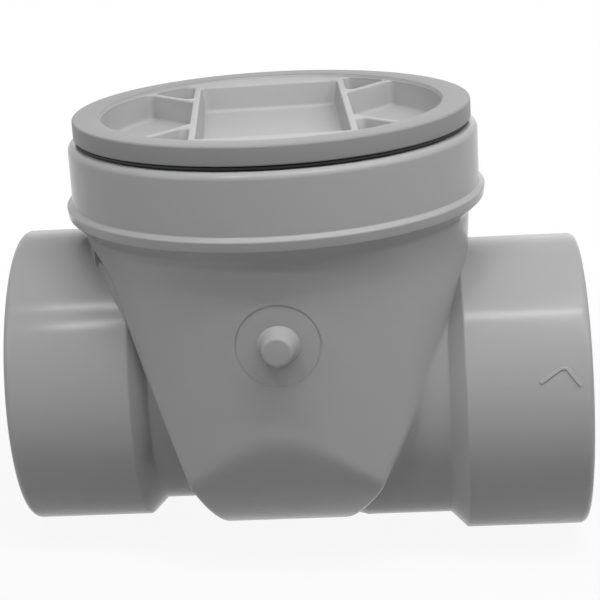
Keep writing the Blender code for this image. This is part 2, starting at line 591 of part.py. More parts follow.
def make_flapper(pivot, mats):
    """The gate with its ribs, arm and knuckle, drawn from the hinge axis."""
    base = GATE_N - PIN_N
    face = base + GATE_THICKNESS
    crest = base + GATE_RIM_HEIGHT
    inner = GATE_R - GATE_RIM_WIDTH
    profile = [(0.0, base), (GATE_R, base), (GATE_R, crest), (inner, crest), (inner, face),
               (GATE_BOSS_R, face), (GATE_BOSS_R, crest), (0.0, crest)]
    gate = place("flapper", turned(profile, SEAT_STEPS, "X", (0.0, 0.0, -PIN_U)), pivot, mats["pvc"])
    for i in range(GATE_RIBS):
        half = GATE_RIB_THICKNESS / 2
        rib = box((face - CLEARANCE, crest - GATE_RIB_DROP), (-half, half),
                  (GATE_BOSS_R - ARM_OVERLAP, inner + ARM_OVERLAP))
        turn = Matrix.Rotation(2 * math.pi * i / GATE_RIBS, 3, "X")
        bmesh.ops.rotate(rib, verts=rib.verts, cent=(0, 0, 0), matrix=turn)
        bmesh.ops.translate(rib, verts=rib.verts, vec=(0.0, 0.0, -PIN_U))
        combine(gate, place("gate_rib_%d" % i, rib, pivot), "UNION")
    arm_foot = -PIN_U + inner - ARM_ROOT
    flank = math.radians(22.0)   # where the arm's faces meet the knuckle, below its middle
    flank_n, flank_u = KNUCKLE_R * 0.8, -KNUCKLE_R * math.sin(flank)
    arm = prism([(base + GATE_THICKNESS / 4, arm_foot), (crest + ARM_RISE, arm_foot), (flank_n, flank_u),
                 (0.0, 0.0), (-flank_n, flank_u)], -ARM_HALF_WIDTH, ARM_HALF_WIDTH)
    combine(gate, place("gate_arm", arm, pivot), "UNION")
    reach = KNUCKLE_HALF_LENGTH
    knuckle = place("knuckle", turned(pin_profile(KNUCKLE_R, -reach, reach), SMALL_STEPS, "Y"), pivot)
    combine(gate, knuckle, "UNION")
    bore = turned(pin_profile(PIN_BORE_R, -reach - WALL, reach + WALL), SMALL_STEPS, "Y")
    combine(gate, place("knuckle_bore", bore, pivot), "DIFFERENCE")
    drill(gate, pivot, GATE_N - WALL, GATE_N + GATE_RIM_HEIGHT + WALL)

    seal_low = SEAL_N - PIN_N
    seal_profile = pin_profile(SEAL_R, seal_low, seal_low + SEAL_THICKNESS, SEAL_EDGE)
    seal = place("flapper_seal", turned(seal_profile, SEAT_STEPS, "X", (0.0, 0.0, -PIN_U)), pivot,
                 mats["rubber"])
    drill(seal, pivot, SEAL_N - WALL, SEAL_N + WALL * 2)

    plate_low = RETAINER_N - PIN_N
    plate_profile = pin_profile(RETAINER_R, plate_low, plate_low + RETAINER_THICKNESS, RETAINER_EDGE)
    plate = place("seal_retainer", turned(plate_profile, SEAT_STEPS, "X", (0.0, 0.0, -PIN_U)), pivot,
                  mats["pvc"])
    drill(plate, pivot, RETAINER_N - WALL, RETAINER_N + WALL)

    seat_n = GATE_N + GATE_THICKNESS + CLEARANCE
    for number, (y, u) in enumerate(screw_places()):
        screw = screw_mesh(seat_n - PIN_N, RETAINER_N + SCREW_TIP_INSET - PIN_N, (0.0, y, u - PIN_U))
        place("retainer_screw_%d" % (number + 1), screw, pivot, mats["steel"])


def screw_mesh(seat_n, tip_n, centre):
    """A pan head screw along n: the head's underside at seat_n, the shank down to tip_n."""
    crown = seat_n + SCREW_HEAD_HEIGHT
    profile = [(0.0, tip_n), (SCREW_R * 0.7, tip_n), (SCREW_R, tip_n + SCREW_R * 0.4), (SCREW_R, seat_n),
               (SCREW_HEAD_R, seat_n), (SCREW_HEAD_R, seat_n + SCREW_HEAD_HEIGHT * 0.5),
               (SCREW_HEAD_R * 0.75, crown), (0.0, crown)]
    return turned(profile, SCREW_STEPS, "X", centre)


def make_hinge(seat, mats):
    """The bracket above the seat with its ears, bushes, pin, clips and screws."""
    bracket_top = BRACKET_THICKNESS + CLEARANCE
    plate = box((CLEARANCE, bracket_top), (-BRACKET_HALF_WIDTH, BRACKET_HALF_WIDTH),
                (BRACKET_FOOT_U, BRACKET_TOP_U))
    bracket = place("hinge_bracket", plate, seat, mats["pvc"])
    inside = CLEARANCE + BRACKET_THICKNESS / 2
    ear_outline = [(inside, BRACKET_FOOT_U + EAR_SETBACK)] + arc((PIN_N, PIN_U), EAR_R, -90, 90, 10)
    ear_outline += [(inside, BRACKET_TOP_U - EAR_SETBACK)]
    head_n = bracket_top + CLEARANCE
    for side, label in ((-1, "right"), (1, "left")):
        low, high = sorted((side * EAR_Y, side * (EAR_Y + EAR_THICKNESS)))
        combine(bracket, place("ear_" + label, prism(ear_outline, low, high), seat), "UNION")
        hole = turned(pin_profile(HOLE_R, -WALL, WALL * 2), SCREW_STEPS, "X",
                      (0.0, side * BRACKET_SCREW_Y, PIN_U))
        combine(bracket, place("plate_hole_" + label, hole, seat), "DIFFERENCE")
        screw = screw_mesh(head_n, -BRACKET_SCREW_DEPTH, (0.0, side * BRACKET_SCREW_Y, PIN_U))
        place("bracket_screw_" + label, screw, seat, mats["steel"])
    ear_bore = turned(pin_profile(BUSH_BORE_R, -PIN_HALF_LENGTH, PIN_HALF_LENGTH), SMALL_STEPS, "Y",
                      (PIN_N, 0.0, PIN_U))
    combine(bracket, place("ear_bore", ear_bore, seat), "DIFFERENCE")

    pin = turned(pin_profile(PIN_R, -PIN_HALF_LENGTH, PIN_HALF_LENGTH, PIN_CHAMFER), SMALL_STEPS, "Y",
                 (PIN_N, 0.0, PIN_U))
    place("hinge_pin", pin, seat, mats["steel"])
    ear_end = EAR_Y + EAR_THICKNESS
    clip_head = CLIP_Y + CLIP_THICKNESS
    for side, label in ((-1, "right"), (1, "left")):
        bush = [(PIN_BORE_R, BUSH_FOOT_Y), (BUSH_FLANGE_R, BUSH_FOOT_Y),
                (BUSH_FLANGE_R, BUSH_FOOT_Y + BUSH_FLANGE), (BUSH_R, BUSH_FOOT_Y + BUSH_FLANGE),
                (BUSH_R, ear_end), (PIN_BORE_R, ear_end)]
        bush = [(r, side * h) for r, h in bush]
        place("hinge_bush_" + label, turned(bush, SMALL_STEPS, "Y", (PIN_N, 0.0, PIN_U)), seat, mats["bush"])
        clip = [(PIN_BORE_R, CLIP_Y), (CLIP_R, CLIP_Y), (CLIP_R, clip_head), (PIN_BORE_R, clip_head)]
        clip = [(r, side * h) for r, h in clip]
        ring = turned(clip, SMALL_STEPS, "Y", (PIN_N, 0.0, PIN_U),
                      sweep=(CLIP_MOUTH / 2, 360.0 - CLIP_MOUTH / 2))
        place("pin_clip_" + label, ring, seat, mats["steel"])


def main():
    for obj in list(bpy.data.objects):
        bpy.data.objects.remove(obj)
    mats = {
        "pvc": material("grey_pvc", (0.50, 0.50, 0.50), 0.35),
        "rubber": material("black_rubber", (0.03, 0.03, 0.03), 0.6),
        "steel": material("stainless_steel", (0.60, 0.60, 0.60), 0.3, 1.0),
        "bush": material("white_acetal", (0.80, 0.80, 0.78), 0.4),
    }
    valve = empty("chamber_axis", ORIGIN)
    seat = empty("seat_plane", (SEAT_POINT_X, 0.0, INLET_Z), tilt=-SEAT_TILT, parent=valve)
    pivot = empty("flapper_pivot", (PIN_N, 0.0, PIN_U), parent=seat)
    cap = empty("cap_axis", (0.0, 0.0, 0.0), turn=CAP_TURN, parent=valve)
    make_body(valve, seat, mats["pvc"])
    make_cap(cap, mats["pvc"])
    make_ring(cap, mats["rubber"])
    make_seat(seat, mats["pvc"])
    make_flapper(pivot, mats)
    make_hinge(seat, mats)


main()
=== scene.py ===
"""Looks of the backwater valve: finely shaped pieces and finishes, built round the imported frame.

Metres, +Z up. Sizes are measured from the chamber's upright axis and from the height midway between
the two sockets; VALVE, SEAT, PIVOT and CAP place them in the frame.
"""
import math

import bmesh
import bpy
import numpy as np
from mathutils import Matrix, Vector


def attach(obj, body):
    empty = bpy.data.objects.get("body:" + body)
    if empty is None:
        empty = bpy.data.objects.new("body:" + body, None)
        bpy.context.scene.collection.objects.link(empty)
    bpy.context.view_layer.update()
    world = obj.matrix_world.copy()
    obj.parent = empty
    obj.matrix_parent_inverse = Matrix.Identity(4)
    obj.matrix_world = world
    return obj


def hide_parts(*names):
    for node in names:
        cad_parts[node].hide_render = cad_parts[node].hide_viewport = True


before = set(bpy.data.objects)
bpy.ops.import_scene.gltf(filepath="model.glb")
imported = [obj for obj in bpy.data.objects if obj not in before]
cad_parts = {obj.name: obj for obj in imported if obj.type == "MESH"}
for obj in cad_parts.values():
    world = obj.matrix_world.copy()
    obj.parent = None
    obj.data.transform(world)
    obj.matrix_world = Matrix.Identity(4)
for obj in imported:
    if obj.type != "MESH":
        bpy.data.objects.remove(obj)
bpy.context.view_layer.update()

# Sockets and waterway
GAP = 0.0003                 # between pieces that touch
WALL = 0.0050
SOCKET_R = 0.0572
SOCKET_DEPTH = 0.0445
SOCKET_LEAD = 0.0015
SOCKET_TAPER = 0.0004        # the sockets narrow by this much towards their stops
SOCKET_OVERCUT = 0.0035      # the cutter reaches this far past the hub's end
INLET_BORE_END = 0.0150      # the bores end at these distances from the chamber's axis
OUTLET_BORE_END = 0.0160
OUTLET_BORE_FULL = 0.0300    # the outlet bore has its full radius from here on
OUTLET_BORE_STEP = 0.0040
HUB_R = 0.0640
HUB_LENGTH = 0.0520
HUB_EDGE_R = 0.0035
SHOULDER = 0.0070
TUBE_R = HUB_R - SHOULDER
BORE_R = 0.0508
DROP = 0.0117
INLET_REACH = 0.1137
OUTLET_REACH = 0.1293
INLET_Z = DROP / 2
OUTLET_Z = -DROP / 2
TUBE_START = 0.0200          # the tubes grow out of the chamber from here, with this much lead
TUBE_LEAD = 0.0035
TUBE_FILLET = 0.0040

# Chamber
CHAMBER_R = 0.0820
SEAT_WALL_X = -0.0460
SEAT_TILT = math.radians(19.3)
SEAT_CORNER_R = 0.0110
FLOOR_Z = -0.0606
RAMP_X = 0.0575
RAMP_TILT = math.radians(30.2)
RAMP_TOP_Z = 0.0120
RAMP_CORNER_R = 0.0160
BELLY_HALF_WIDTH = 0.0835
BELLY_CENTRE_Z = 0.0140
WALL_EDGE = 0.0016           # softness of the edges: inclined wall, outlet ramp and underside
RAMP_EDGE = 0.0060
BELLY_EDGE = 0.0030
BELLY_EDGE_DIP = 25.0        # degrees below the belly's middle over which that edge softens
EDGE_SWITCH = (70.0, 110.0)  # degrees below +X between which the ramp's edge becomes the wall's

# Neck and collar
LEDGE_Z = 0.07395
LEDGE_THICKNESS = 0.0060
LEDGE_CORNER_R = 0.0240      # between the inclined wall and the overhang
SHELF_CORNER_R = 0.0015      # the same corner inside
NECK_FOOT_Z = 0.06185
NECK_TOP_Z = 0.0757
NECK_DRAFT = 0.0008
COLLAR_R = 0.0874
COLLAR_TOP_Z = 0.11255
COLLAR_EDGE = 0.0010
THREAD_R = 0.0776
THREAD_FOOT_Z = 0.08995
THREAD_PITCH = 0.0060
THREAD_STEPS = 20            # rows of points for each turn
THREAD_HALF_SHARE = 0.27     # of the pitch: half the ridge's foot, and the run of one flank
THREAD_FLANK_SHARE = 0.13
THREAD_RELIEF = 0.0006       # plain wall between a thread and the corner next to it
SKIRT_THICKNESS = 0.0025     # thin upright wall over the inlet, with a wider web below it
SKIRT_HALF_WIDTH = 0.0300
SKIRT_WEB_HALF_WIDTH = 0.0520
SKIRT_WEB_R = 0.0805
SKIRT_WEB_FOOT_Z = 0.0400
SKIRT_WEB_HEAD_Z = 0.0650

# Front boss
BOSS_X = 0.0025
BOSS_Z = 0.0410
BOSS_FOOT_R = 0.0077
BOSS_FACE_R = 0.0060
BOSS_HEIGHT = 0.0080
BOSS_RECESS_R = 0.0172
BOSS_RECESS_DEPTH = 0.0003
BOSS_FOOT_RISE = 0.0008      # the boss's foot corner stands this far in front of the chamber
BOSS_FOOT_FLARE = 0.0010

# Flow mark on the outlet hub: (x, degrees above the hub's axis) along its stroke
FLOW_MARK = ((0.1074, 17.8), (0.1158, 22.9), (0.1182, 22.9), (0.1236, 16.3))
FLOW_MARK_WIDTH = 0.0018
FLOW_MARK_HEIGHT = 0.0005
FLOW_MARK_SINK = 0.0010

# Cap and ring
RING_THICKNESS = 0.0016
RING_OUTER_R = 0.0838
RING_INNER_R = 0.0786
FLANGE_R = 0.0847
FLANGE_THICKNESS = 0.0080
FLANGE_EDGE = 0.0009
FLANGE_FOOT_Z = COLLAR_TOP_Z + RING_THICKNESS + 2 * GAP
CAP_TOP_Z = FLANGE_FOOT_Z + FLANGE_THICKNESS
CAP_SKIRT_R = 0.0760
CAP_SKIRT_WALL = 0.0055
CAP_FLOOR_THICKNESS = 0.0035
CAP_TURN = math.radians(4.0)
GRIP_R = 0.0730
GRIP_STEP = 0.0014
GRIP_DEPTH = 0.0128
GRIP_DRAFT = 0.0012
GRIP_WALL = 0.0030
CHANNEL_HALF_WIDTH = 0.0310
CHANNEL_HALF_LENGTH = 0.0580
GRIP_RIB_ROOT_Y = 0.0270
GRIP_RIB_ANGLE = math.radians(43.0)

# Smaller roundings and threads
NECK_CORNER_R = 0.0030
COLLAR_EDGE_R = 0.0030
BEAD = [(0.0893, 0.0819, 0.0010), (0.0899, 0.0861, 0.0009),
        (COLLAR_R, 0.0872, 0.0008)]     # (radius, height, rounding), upwards
SHOULDER_FOOT_R = 0.0020
SHOULDER_EDGE_R = 0.0015
TUBE_LAP = 0.0030            # tube and hub run into each other by this much
TUBE_TOP_Z = 0.0500          # above this the tubes lie inside the chamber
COLLAR_CREST = 0.0012
CAP_CREST = 0.0013
GRIP_FLOOR_R = 0.0020
GRIP_TOP_R = 0.0008
GRIP_CORNER_R = 0.0026
GRIP_RIM_GAP = 0.0004        # the pockets stop this far inside the cap's rim
ROUNDING_SPOKES = 8          # points round each corner of a recess
ROUNDING_TURN = math.radians(20)   # smaller turns get one point

# Seat, flapper and hinge, measured square to the inclined wall (n) and up along it (u)
SEAT_R = 0.0515
SEAT_OUTER_R = 0.0580
SEAT_SINK = 0.0020
SEAT_PROUD = 0.0035
SEAL_R = 0.0565
SEAL_THICKNESS = 0.0028
SEAL_N = SEAT_PROUD + GAP
GATE_N = SEAL_N + SEAL_THICKNESS + GAP
GATE_R = 0.0560
GATE_THICKNESS = 0.0040
GATE_RIM_WIDTH = 0.0040
GATE_RIM_HEIGHT = 0.0076
GATE_BOSS_R = 0.0090
GATE_RIB_THICKNESS = 0.0030
GATE_RIB_DROP = 0.0010
GATE_RIBS = 6
ARM_FOOT_LAP = 0.0060        # the arm starts this far inside the gate's rim
ARM_PROUD = 0.0004           # and stands this far above it
ARM_HEAD_ANGLE = math.radians(22)
ARM_HALF_WIDTH = 0.0110
RETAINER_R = 0.0450
RETAINER_THICKNESS = 0.0025
RETAINER_N = SEAL_N - GAP - RETAINER_THICKNESS
SCREW_CIRCLE_R = 0.0380
SCREW_R = 0.0020
SCREW_HEAD_R = 0.0037
SCREW_HEAD_HEIGHT = 0.0026
SCREW_RECESS = 0.0016
SCREW_RECESS_HALF_WIDTH = 0.00045
SCREW_RECESS_REACH = (0.0006, 0.0021)   # half lengths of the cross at its floor and above the head
SCREW_RECESS_TURN = math.radians(20)
SCREW_FLOOR = 0.0013
PIN_R = 0.0030
PIN_N = GATE_N + 0.0049
PIN_U = SEAT_OUTER_R + 0.0080
PIN_HALF_LENGTH = 0.0255
PIN_BORE_R = PIN_R + GAP
KNUCKLE_R = 0.0070
KNUCKLE_HALF_LENGTH = 0.0155
BUSH_R = 0.0045
BUSH_FLANGE_R = 0.0060
BUSH_FLANGE = 0.0011
BUSH_FOOT_Y = KNUCKLE_HALF_LENGTH + 1.5 * GAP
EAR_R = 0.0075
EAR_Y = BUSH_FOOT_Y + BUSH_FLANGE + GAP
EAR_THICKNESS = 0.0040
BRACKET_THICKNESS = 0.0030
BRACKET_HALF_WIDTH = 0.0360
BRACKET_SCREW_Y = 0.0300
BRACKET_FOOT_U = SEAT_OUTER_R + 0.0016
BRACKET_TOP_U = PIN_U + 0.0055
CLIP_R = 0.0060
CLIP_Y = EAR_Y + EAR_THICKNESS + GAP
CLIP_THICKNESS = 0.0012
CLIP_MOUTH = 60.0

# Finishes
BODY_GREY = (0.29, 0.29, 0.29)
CAP_GREY = (0.225, 0.225, 0.225)
RECESS_PAINTED_LIGHT_GREY = (0.345, 0.345, 0.345)   # painted light: a paler copy of the cap's grey in its recess, which lightens the shade that falls inside
GATE_GREY = (0.29, 0.29, 0.29)
CLOUD_SCALE = 14.0           # soft clouds in the greys
CLOUD_DEPTH = 0.02           # share by which they lighten and darken the grey
GRAIN_SCALE = 900.0          # fine grain of the moulded surface
GRAIN_DEPTH = 0.00002

# Light, floor and camera
SKY = 0.22                   # brightness of the surroundings as light on the object
TABLE = 0.45
SHADOW = 0.08                # share of the table's look that comes from the light on it
FLOOR_CONTACT_RUN = 0.1930   # between the two hub edges that touch the table
TABLE_R = 3.0
TABLE_THICKNESS = 0.05
TABLE_GAP = 0.0002           # between the table and the hubs
SHADOW_REACH = (0.18, 0.45)  # the shadow fades out between these distances
# Lamps: degrees from the front towards the outlet, degrees up, distance, width and watts
LAMPS = (("right_lamp", 60.0, 55.0, 0.80, 0.5, 3.5), ("side_lamp", 80.0, 25.0, 1.30, 0.6, 3.0),
         ("left_lamp", -60.0, 30.0, 1.30, 0.6, 3.4), ("back_lamp", 180.0, 15.0, 1.30, 0.9, 0.6))
LAMP_AIM_Z = 0.07
LAMP_DEPTH = 0.50
STRIP_REACH = 0.80
STRIP_WIDTH = 0.03
# Strip lamps: degrees up from the front, their two ends along X and watts
STRIPS = (("hub_line_lamp", 69.0, -0.30, 0.30, 3.2), ("inlet_line_lamp", 54.0, -0.28, -0.18, 0.7))
LENS = 107.36
CAMERA_DISTANCE = 0.7875
CAMERA_RISE = 0.293093
CAMERA_AZIMUTH = 0.0566652
CAMERA_ROLL = -0.0581386
CAMERA_AIM_X = 0.0076370
CAMERA_AIM_Z = 0.0351085

# Facets
COLUMNS = 432
SUMP_LEVELS = 150
VOID_LEVELS = 90
HUB_COLUMNS = 288
SKIRT_STEPS = 80
SEAT_COLUMNS = 192
SMALL_COLUMNS = 64
SIDES = ((-1, "right"), (1, "left"))   # seen along the flow

# Placing
VALVE = Matrix.Translation(((INLET_REACH - OUTLET_REACH) / 2, 0.0, DROP / 2 + HUB_R))
SEAT_POINT_X = SEAT_WALL_X - INLET_Z * math.tan(SEAT_TILT) + WALL / math.cos(SEAT_TILT)
SEAT = Matrix.Translation((SEAT_POINT_X, 0.0, INLET_Z)) @ Matrix.Rotation(-SEAT_TILT, 4, "Y")
PIVOT = Matrix.Translation((PIN_N, 0.0, PIN_U))
CAP = VALVE @ Matrix.Rotation(CAP_TURN, 4, "Z")


def soft_min(a, b, width):
    """The smaller of two distances, rounded over where they differ by less than width."""
    near = np.maximum(width - np.abs(a - b), 0.0) / width
    return np.minimum(a, b) - near * near * width / 4


def soft_max(a, b, width):
    """The larger of two distances, filled in where they differ by less than width."""
    return -soft_min(-a, -b, width)


def arc(centre, radius, start, end, steps):
    """Points on an arc, both ends included, with angles in degrees."""
    angles = np.radians(np.linspace(start, end, steps + 1))
    return [(centre[0] + radius * math.cos(a), centre[1] + radius * math.sin(a)) for a in angles]


def fillet(before, corner, after, radius, steps=8):
    """Points that round the corner between two straight stretches."""
    corner = Vector(corner)
    to_before = (Vector(before) - corner).normalized()
    to_after = (Vector(after) - corner).normalized()
    half = to_before.angle(to_after) / 2
    centre = corner + (to_before + to_after).normalized() * radius / math.sin(half)
    first = corner + to_before * radius / math.tan(half) - centre
    turn = first.angle_signed(corner + to_after * radius / math.tan(half) - centre)
    points = []
    for i in range(steps + 1):
        spoke = first.copy()
        spoke.rotate(Matrix.Rotation(-turn * i / steps, 2))
        points.append(tuple(centre + spoke))
    return points


def rounded(profile, steps=6):
    """A profile of (radius, height) or (radius, height, rounding) with its marked corners rounded."""
    points = []
    for i, point in enumerate(profile):
        if len(point) == 2:
            points.append(point)
        else:
            before, after = profile[i - 1][:2], profile[(i + 1) % len(profile)][:2]
            points += fillet(before, point[:2], after, point[2], steps)
    return points


def circle(columns):
    """Directions round an upright axis, as two arrays."""
    angles = 2 * math.pi * np.arange(columns) / columns
    return np.cos(angles), np.sin(angles)


def shell(name, rows, ring=False):
    """A closed surface from rows of points that run round; a row of equal points is a pole."""
    verts = []
    index = []
    for row in rows:
        row = np.asarray(row, float)
        if np.ptp(row, axis=0).max() < 1e-9:
            index.append(np.full(len(row), len(verts)))
            verts.append(tuple(row[0]))
        else:
            index.append(len(verts) + np.arange(len(row)))
            verts.extend(map(tuple, row))
    pairs = list(zip(index, index[1:]))
    if ring:
        pairs.append((index[-1], index[0]))
    faces = []
    for low, high in pairs:
        for quad in zip(low, np.roll(low, -1), np.roll(high, -1), high):
            corners = list(dict.fromkeys(int(i) for i in quad))
            if len(corners) > 2:
                faces.append(corners)
    mesh = bpy.data.meshes.new(name)
    mesh.from_pydata(verts, [], faces)
    return closed(name, mesh)


def closed(name, mesh):
    """An object from a mesh, with doubles merged and faces pointing out."""
    bm = bmesh.new()
    bm.from_mesh(mesh)
    bmesh.ops.remove_doubles(bm, verts=bm.verts, dist=1e-6)
    bmesh.ops.recalc_face_normals(bm, faces=bm.faces)
    bm.to_mesh(mesh)
    bm.free()
    obj = bpy.data.objects.new(name, mesh)
    bpy.context.collection.objects.link(obj)
    return obj


def spun(name, profile, columns, axis="Z", centre=(0.0, 0.0, 0.0), ring=False):
    """A profile of (radius, distance along the axis) turned about an axis through centre."""
    across, along = circle(columns)
    rows = []
    for r, h in profile:
        level = np.full(columns, h)
        turned = {"X": (level, across * r, along * r), "Y": (across * r, level, along * r),
                  "Z": (across * r, along * r, level)}[axis]
        rows.append(np.stack(turned, 1) + np.array(centre))
    return shell(name, rows, ring)


def lofted(name, outlines):
    """A closed solid through outlines of (x, y) points, each with its height; flat at both ends."""
    verts = []
    faces = []
    for outline, height in outlines:
        verts += [(x, y, height) for x, y in outline]
    count = len(outlines[0][0])
    for level in range(len(outlines) - 1):
        low = level * count
        for i in range(count):
            j = (i + 1) % count
            faces.append((low + i, low + j, low + count + j, low + count + i))
    faces.append(list(range(count)))
    faces.append(list(range(len(verts) - count, len(verts))))
    mesh = bpy.data.meshes.new(name)
    mesh.from_pydata(verts, [], faces)
    return closed(name, mesh)


def joined(obj, steps):
    """Apply (tool, operation) steps in order: UNION or DIFFERENCE. The tools are used up."""
    for tool, operation in steps:
        modifier = obj.modifiers.new(tool.name, "BOOLEAN")
        modifier.operation = operation
        modifier.object = tool
        modifier.solver = "MANIFOLD"
    graph = bpy.context.evaluated_depsgraph_get()
    mesh = bpy.data.meshes.new_from_object(obj.evaluated_get(graph))
    obj.modifiers.clear()
    obj.data = mesh
    for tool, _ in steps:
        bpy.data.objects.remove(tool)
    return obj


def piece(obj, place, body, slot, mat, *nodes, sharp=32.0):
    """Put a finished piece in its place on its body, in place of CAD nodes."""
    obj.data.transform(place)
    obj.data.materials.clear()
    obj.data.materials.append(mat)
    obj.data.shade_smooth()
    obj.data.set_sharp_from_angle(angle=math.radians(sharp))
    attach(obj, body)
    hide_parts(*nodes)
    return obj


def thread_height(heights, angles, low, high, crest):
    """Height of a right-hand thread over a cylinder: a rounded ridge that fades in and out."""
    phase = (heights / THREAD_PITCH - angles / (2 * math.pi)) % 1.0
    ridge = np.clip((THREAD_HALF_SHARE - np.abs(phase - 0.5)) / THREAD_FLANK_SHARE, 0.0, 1.0)
    fade = np.clip(np.minimum(heights - low, high - heights) / (THREAD_PITCH / 3), 0.0, 1.0)
    return crest * ridge * ridge * (3 - 2 * ridge) * fade


def wall_x(z, inset=0.0):
    """The inclined wall's outside at a height."""
    return SEAT_WALL_X - z * math.tan(SEAT_TILT) + inset / math.cos(SEAT_TILT)


def ramp_x(z, inset=0.0):
    """The outlet ramp's outside at a height."""
    return RAMP_X + z * math.tan(RAMP_TILT) - inset / math.cos(RAMP_TILT)


def sump_outline(inset):
    """The sump seen along Y, from the wall down, along the floor and up the ramp, as (angle, reach)."""
    floor = FLOOR_Z + inset
    wall_head = (wall_x(BELLY_CENTRE_Z, inset), BELLY_CENTRE_Z)
    wall_foot = (wall_x(floor, inset), floor)
    ramp_foot = (ramp_x(floor, inset), floor)
    head_z = RAMP_TOP_Z + inset / 7
    ramp_head = (ramp_x(head_z, inset), head_z)
    corners = [wall_head] + fillet(wall_head, wall_foot, ramp_foot, SEAT_CORNER_R - inset)
    corners += fillet(wall_foot, ramp_foot, ramp_head, RAMP_CORNER_R - inset) + [ramp_head, (0.2, head_z)]
    points = []
    for start, end in zip(corners, corners[1:]):
        steps = np.linspace(0.0, 1.0, 40)[:, None]
        points.append(np.array(start) * (1 - steps) + np.array(end) * steps)
    points = np.concatenate(points)
    angles = np.arctan2(BELLY_CENTRE_Z - points[:, 1], points[:, 0])
    reach = np.hypot(points[:, 0], points[:, 1] - BELLY_CENTRE_Z)
    order = np.argsort(angles)
    return angles[order], reach[order]


def shoulder_foot(reach):
    """How far out from the chamber's axis a hub's shoulder starts."""
    return abs(reach) - HUB_LENGTH - SHOULDER


def tube_reach(dx, dy, dz, height):
    """Distance from (0, 0, height) along directions to the surface of the tube on that side."""
    outlet = dx > 0
    rise = height - np.where(outlet, OUTLET_Z, INLET_Z)
    end = np.where(outlet, shoulder_foot(OUTLET_REACH), shoulder_foot(INLET_REACH)) + TUBE_LAP
    flat = np.maximum(dy * dy + dz * dz, 1e-9)
    radius = TUBE_R
    for _ in range(4):
        far = (np.sqrt(np.maximum(dz * dz * rise * rise + flat * (radius * radius - rise * rise), 0.0))
               - dz * rise) / flat
        lead = np.clip((TUBE_START + 4 * TUBE_LEAD - far * np.abs(dx)) / (4 * TUBE_LEAD), 0.0, 3.0)
        radius = TUBE_R - TUBE_LEAD * lead
    return np.maximum(np.minimum(far, end / np.maximum(np.abs(dx), 1e-6)), 0.0)


def sump_rows(inset, radius, levels):
    """Rows of the rounded underside from its pole up to the height of the belly's middle."""
    across, along = circle(COLUMNS)
    angles, reach = sump_outline(inset)
    half_width = BELLY_HALF_WIDTH - inset
    depth = BELLY_CENTRE_Z - FLOOR_Z - inset
    rows = []
    for level in range(levels + 1):
        dip = math.pi / 2 * (1 - level / levels)
        dx, dy, dz = math.cos(dip) * across, math.cos(dip) * along, -math.sin(dip)
        flat = np.hypot(dx, dz)
        seen = np.arctan2(-dz, dx)
        sides = np.interp(seen, angles, reach, left=1.0) / np.maximum(flat, 1e-9)
        cylinder = radius / max(math.cos(dip), 1e-9) * np.ones(COLUMNS)
        edge = np.interp(seen, np.radians(EDGE_SWITCH), [RAMP_EDGE, WALL_EDGE])
        far = soft_min(cylinder, sides, edge)
        soft = BELLY_EDGE * min(1.0, math.degrees(dip) / BELLY_EDGE_DIP)
        if soft > 0:
            belly = 1 / np.sqrt((dy / half_width) ** 2 + (dz / depth) ** 2)
            far = soft_min(far, belly, soft)
        if inset == 0:
            far = soft_max(far, tube_reach(dx, dy, dz * np.ones(COLUMNS), BELLY_CENTRE_Z), TUBE_FILLET)
        rows.append(np.stack((dx * far, dy * far, BELLY_CENTRE_Z + dz * far), 1))
    return rows


def wall_profile(inset, ledge_z, ledge_r):
    """The inclined wall seen along Y, rounded into the overhang: x and z."""
    foot = (wall_x(BELLY_CENTRE_Z, inset), BELLY_CENTRE_Z)
    head = (wall_x(ledge_z, inset), ledge_z)
    return np.array([foot] + fillet((-1.0, ledge_z), head, foot, ledge_r, 16)[::-1]).T


def wall_rows(inset, radius, ledge_z, ledge_r):
    """Rows from the belly's middle up the inclined wall to the overhang, or the shelf inside."""
    across, along = circle(COLUMNS)
    wall = wall_profile(inset, ledge_z, ledge_r)
    levels = np.union1d(np.linspace(BELLY_CENTRE_Z, ledge_z, 60), wall[1])
    levels = levels[np.diff(levels, append=1.0) > 0.00005]
    forward = np.minimum(across, -0.05)
    rows = []
    for z in levels[1:]:
        sides = np.where(across < -0.05, np.interp(z, wall[1], wall[0]) / forward, 1.0)
        draft = NECK_DRAFT * min(max((z - NECK_FOOT_Z) / (NECK_TOP_Z - NECK_FOOT_Z), 0.0), 1.0)
        far = soft_min(np.full(COLUMNS, radius + (draft if inset == 0 else 0.0)), sides, WALL_EDGE)
        if inset == 0 and z < TUBE_TOP_Z:
            far = soft_max(far, tube_reach(across, along, np.zeros(COLUMNS), z), TUBE_FILLET)
        rows.append(np.stack((across * far, along * far, np.full(COLUMNS, z)), 1))
    return rows


def turned_rows(profile):
    """Rows of a round form from (radius, height) points."""
    across, along = circle(COLUMNS)
    return [np.stack((across * r, along * r, np.full(COLUMNS, z)), 1) for r, z in profile]


def chamber_form():
    """The solid outside of chamber, tubes, neck, bead and collar."""
    rows = sump_rows(0.0, CHAMBER_R, SUMP_LEVELS)
    rows += wall_rows(0.0, CHAMBER_R, LEDGE_Z, LEDGE_CORNER_R)
    profile = rounded([(CHAMBER_R, NECK_FOOT_Z), (CHAMBER_R + NECK_DRAFT, NECK_TOP_Z, NECK_CORNER_R)]
                      + BEAD + [(COLLAR_R, COLLAR_TOP_Z, COLLAR_EDGE_R), (0.0, COLLAR_TOP_Z)], 10)[1:]
    return shell("valve_body_form", rows + turned_rows(profile))


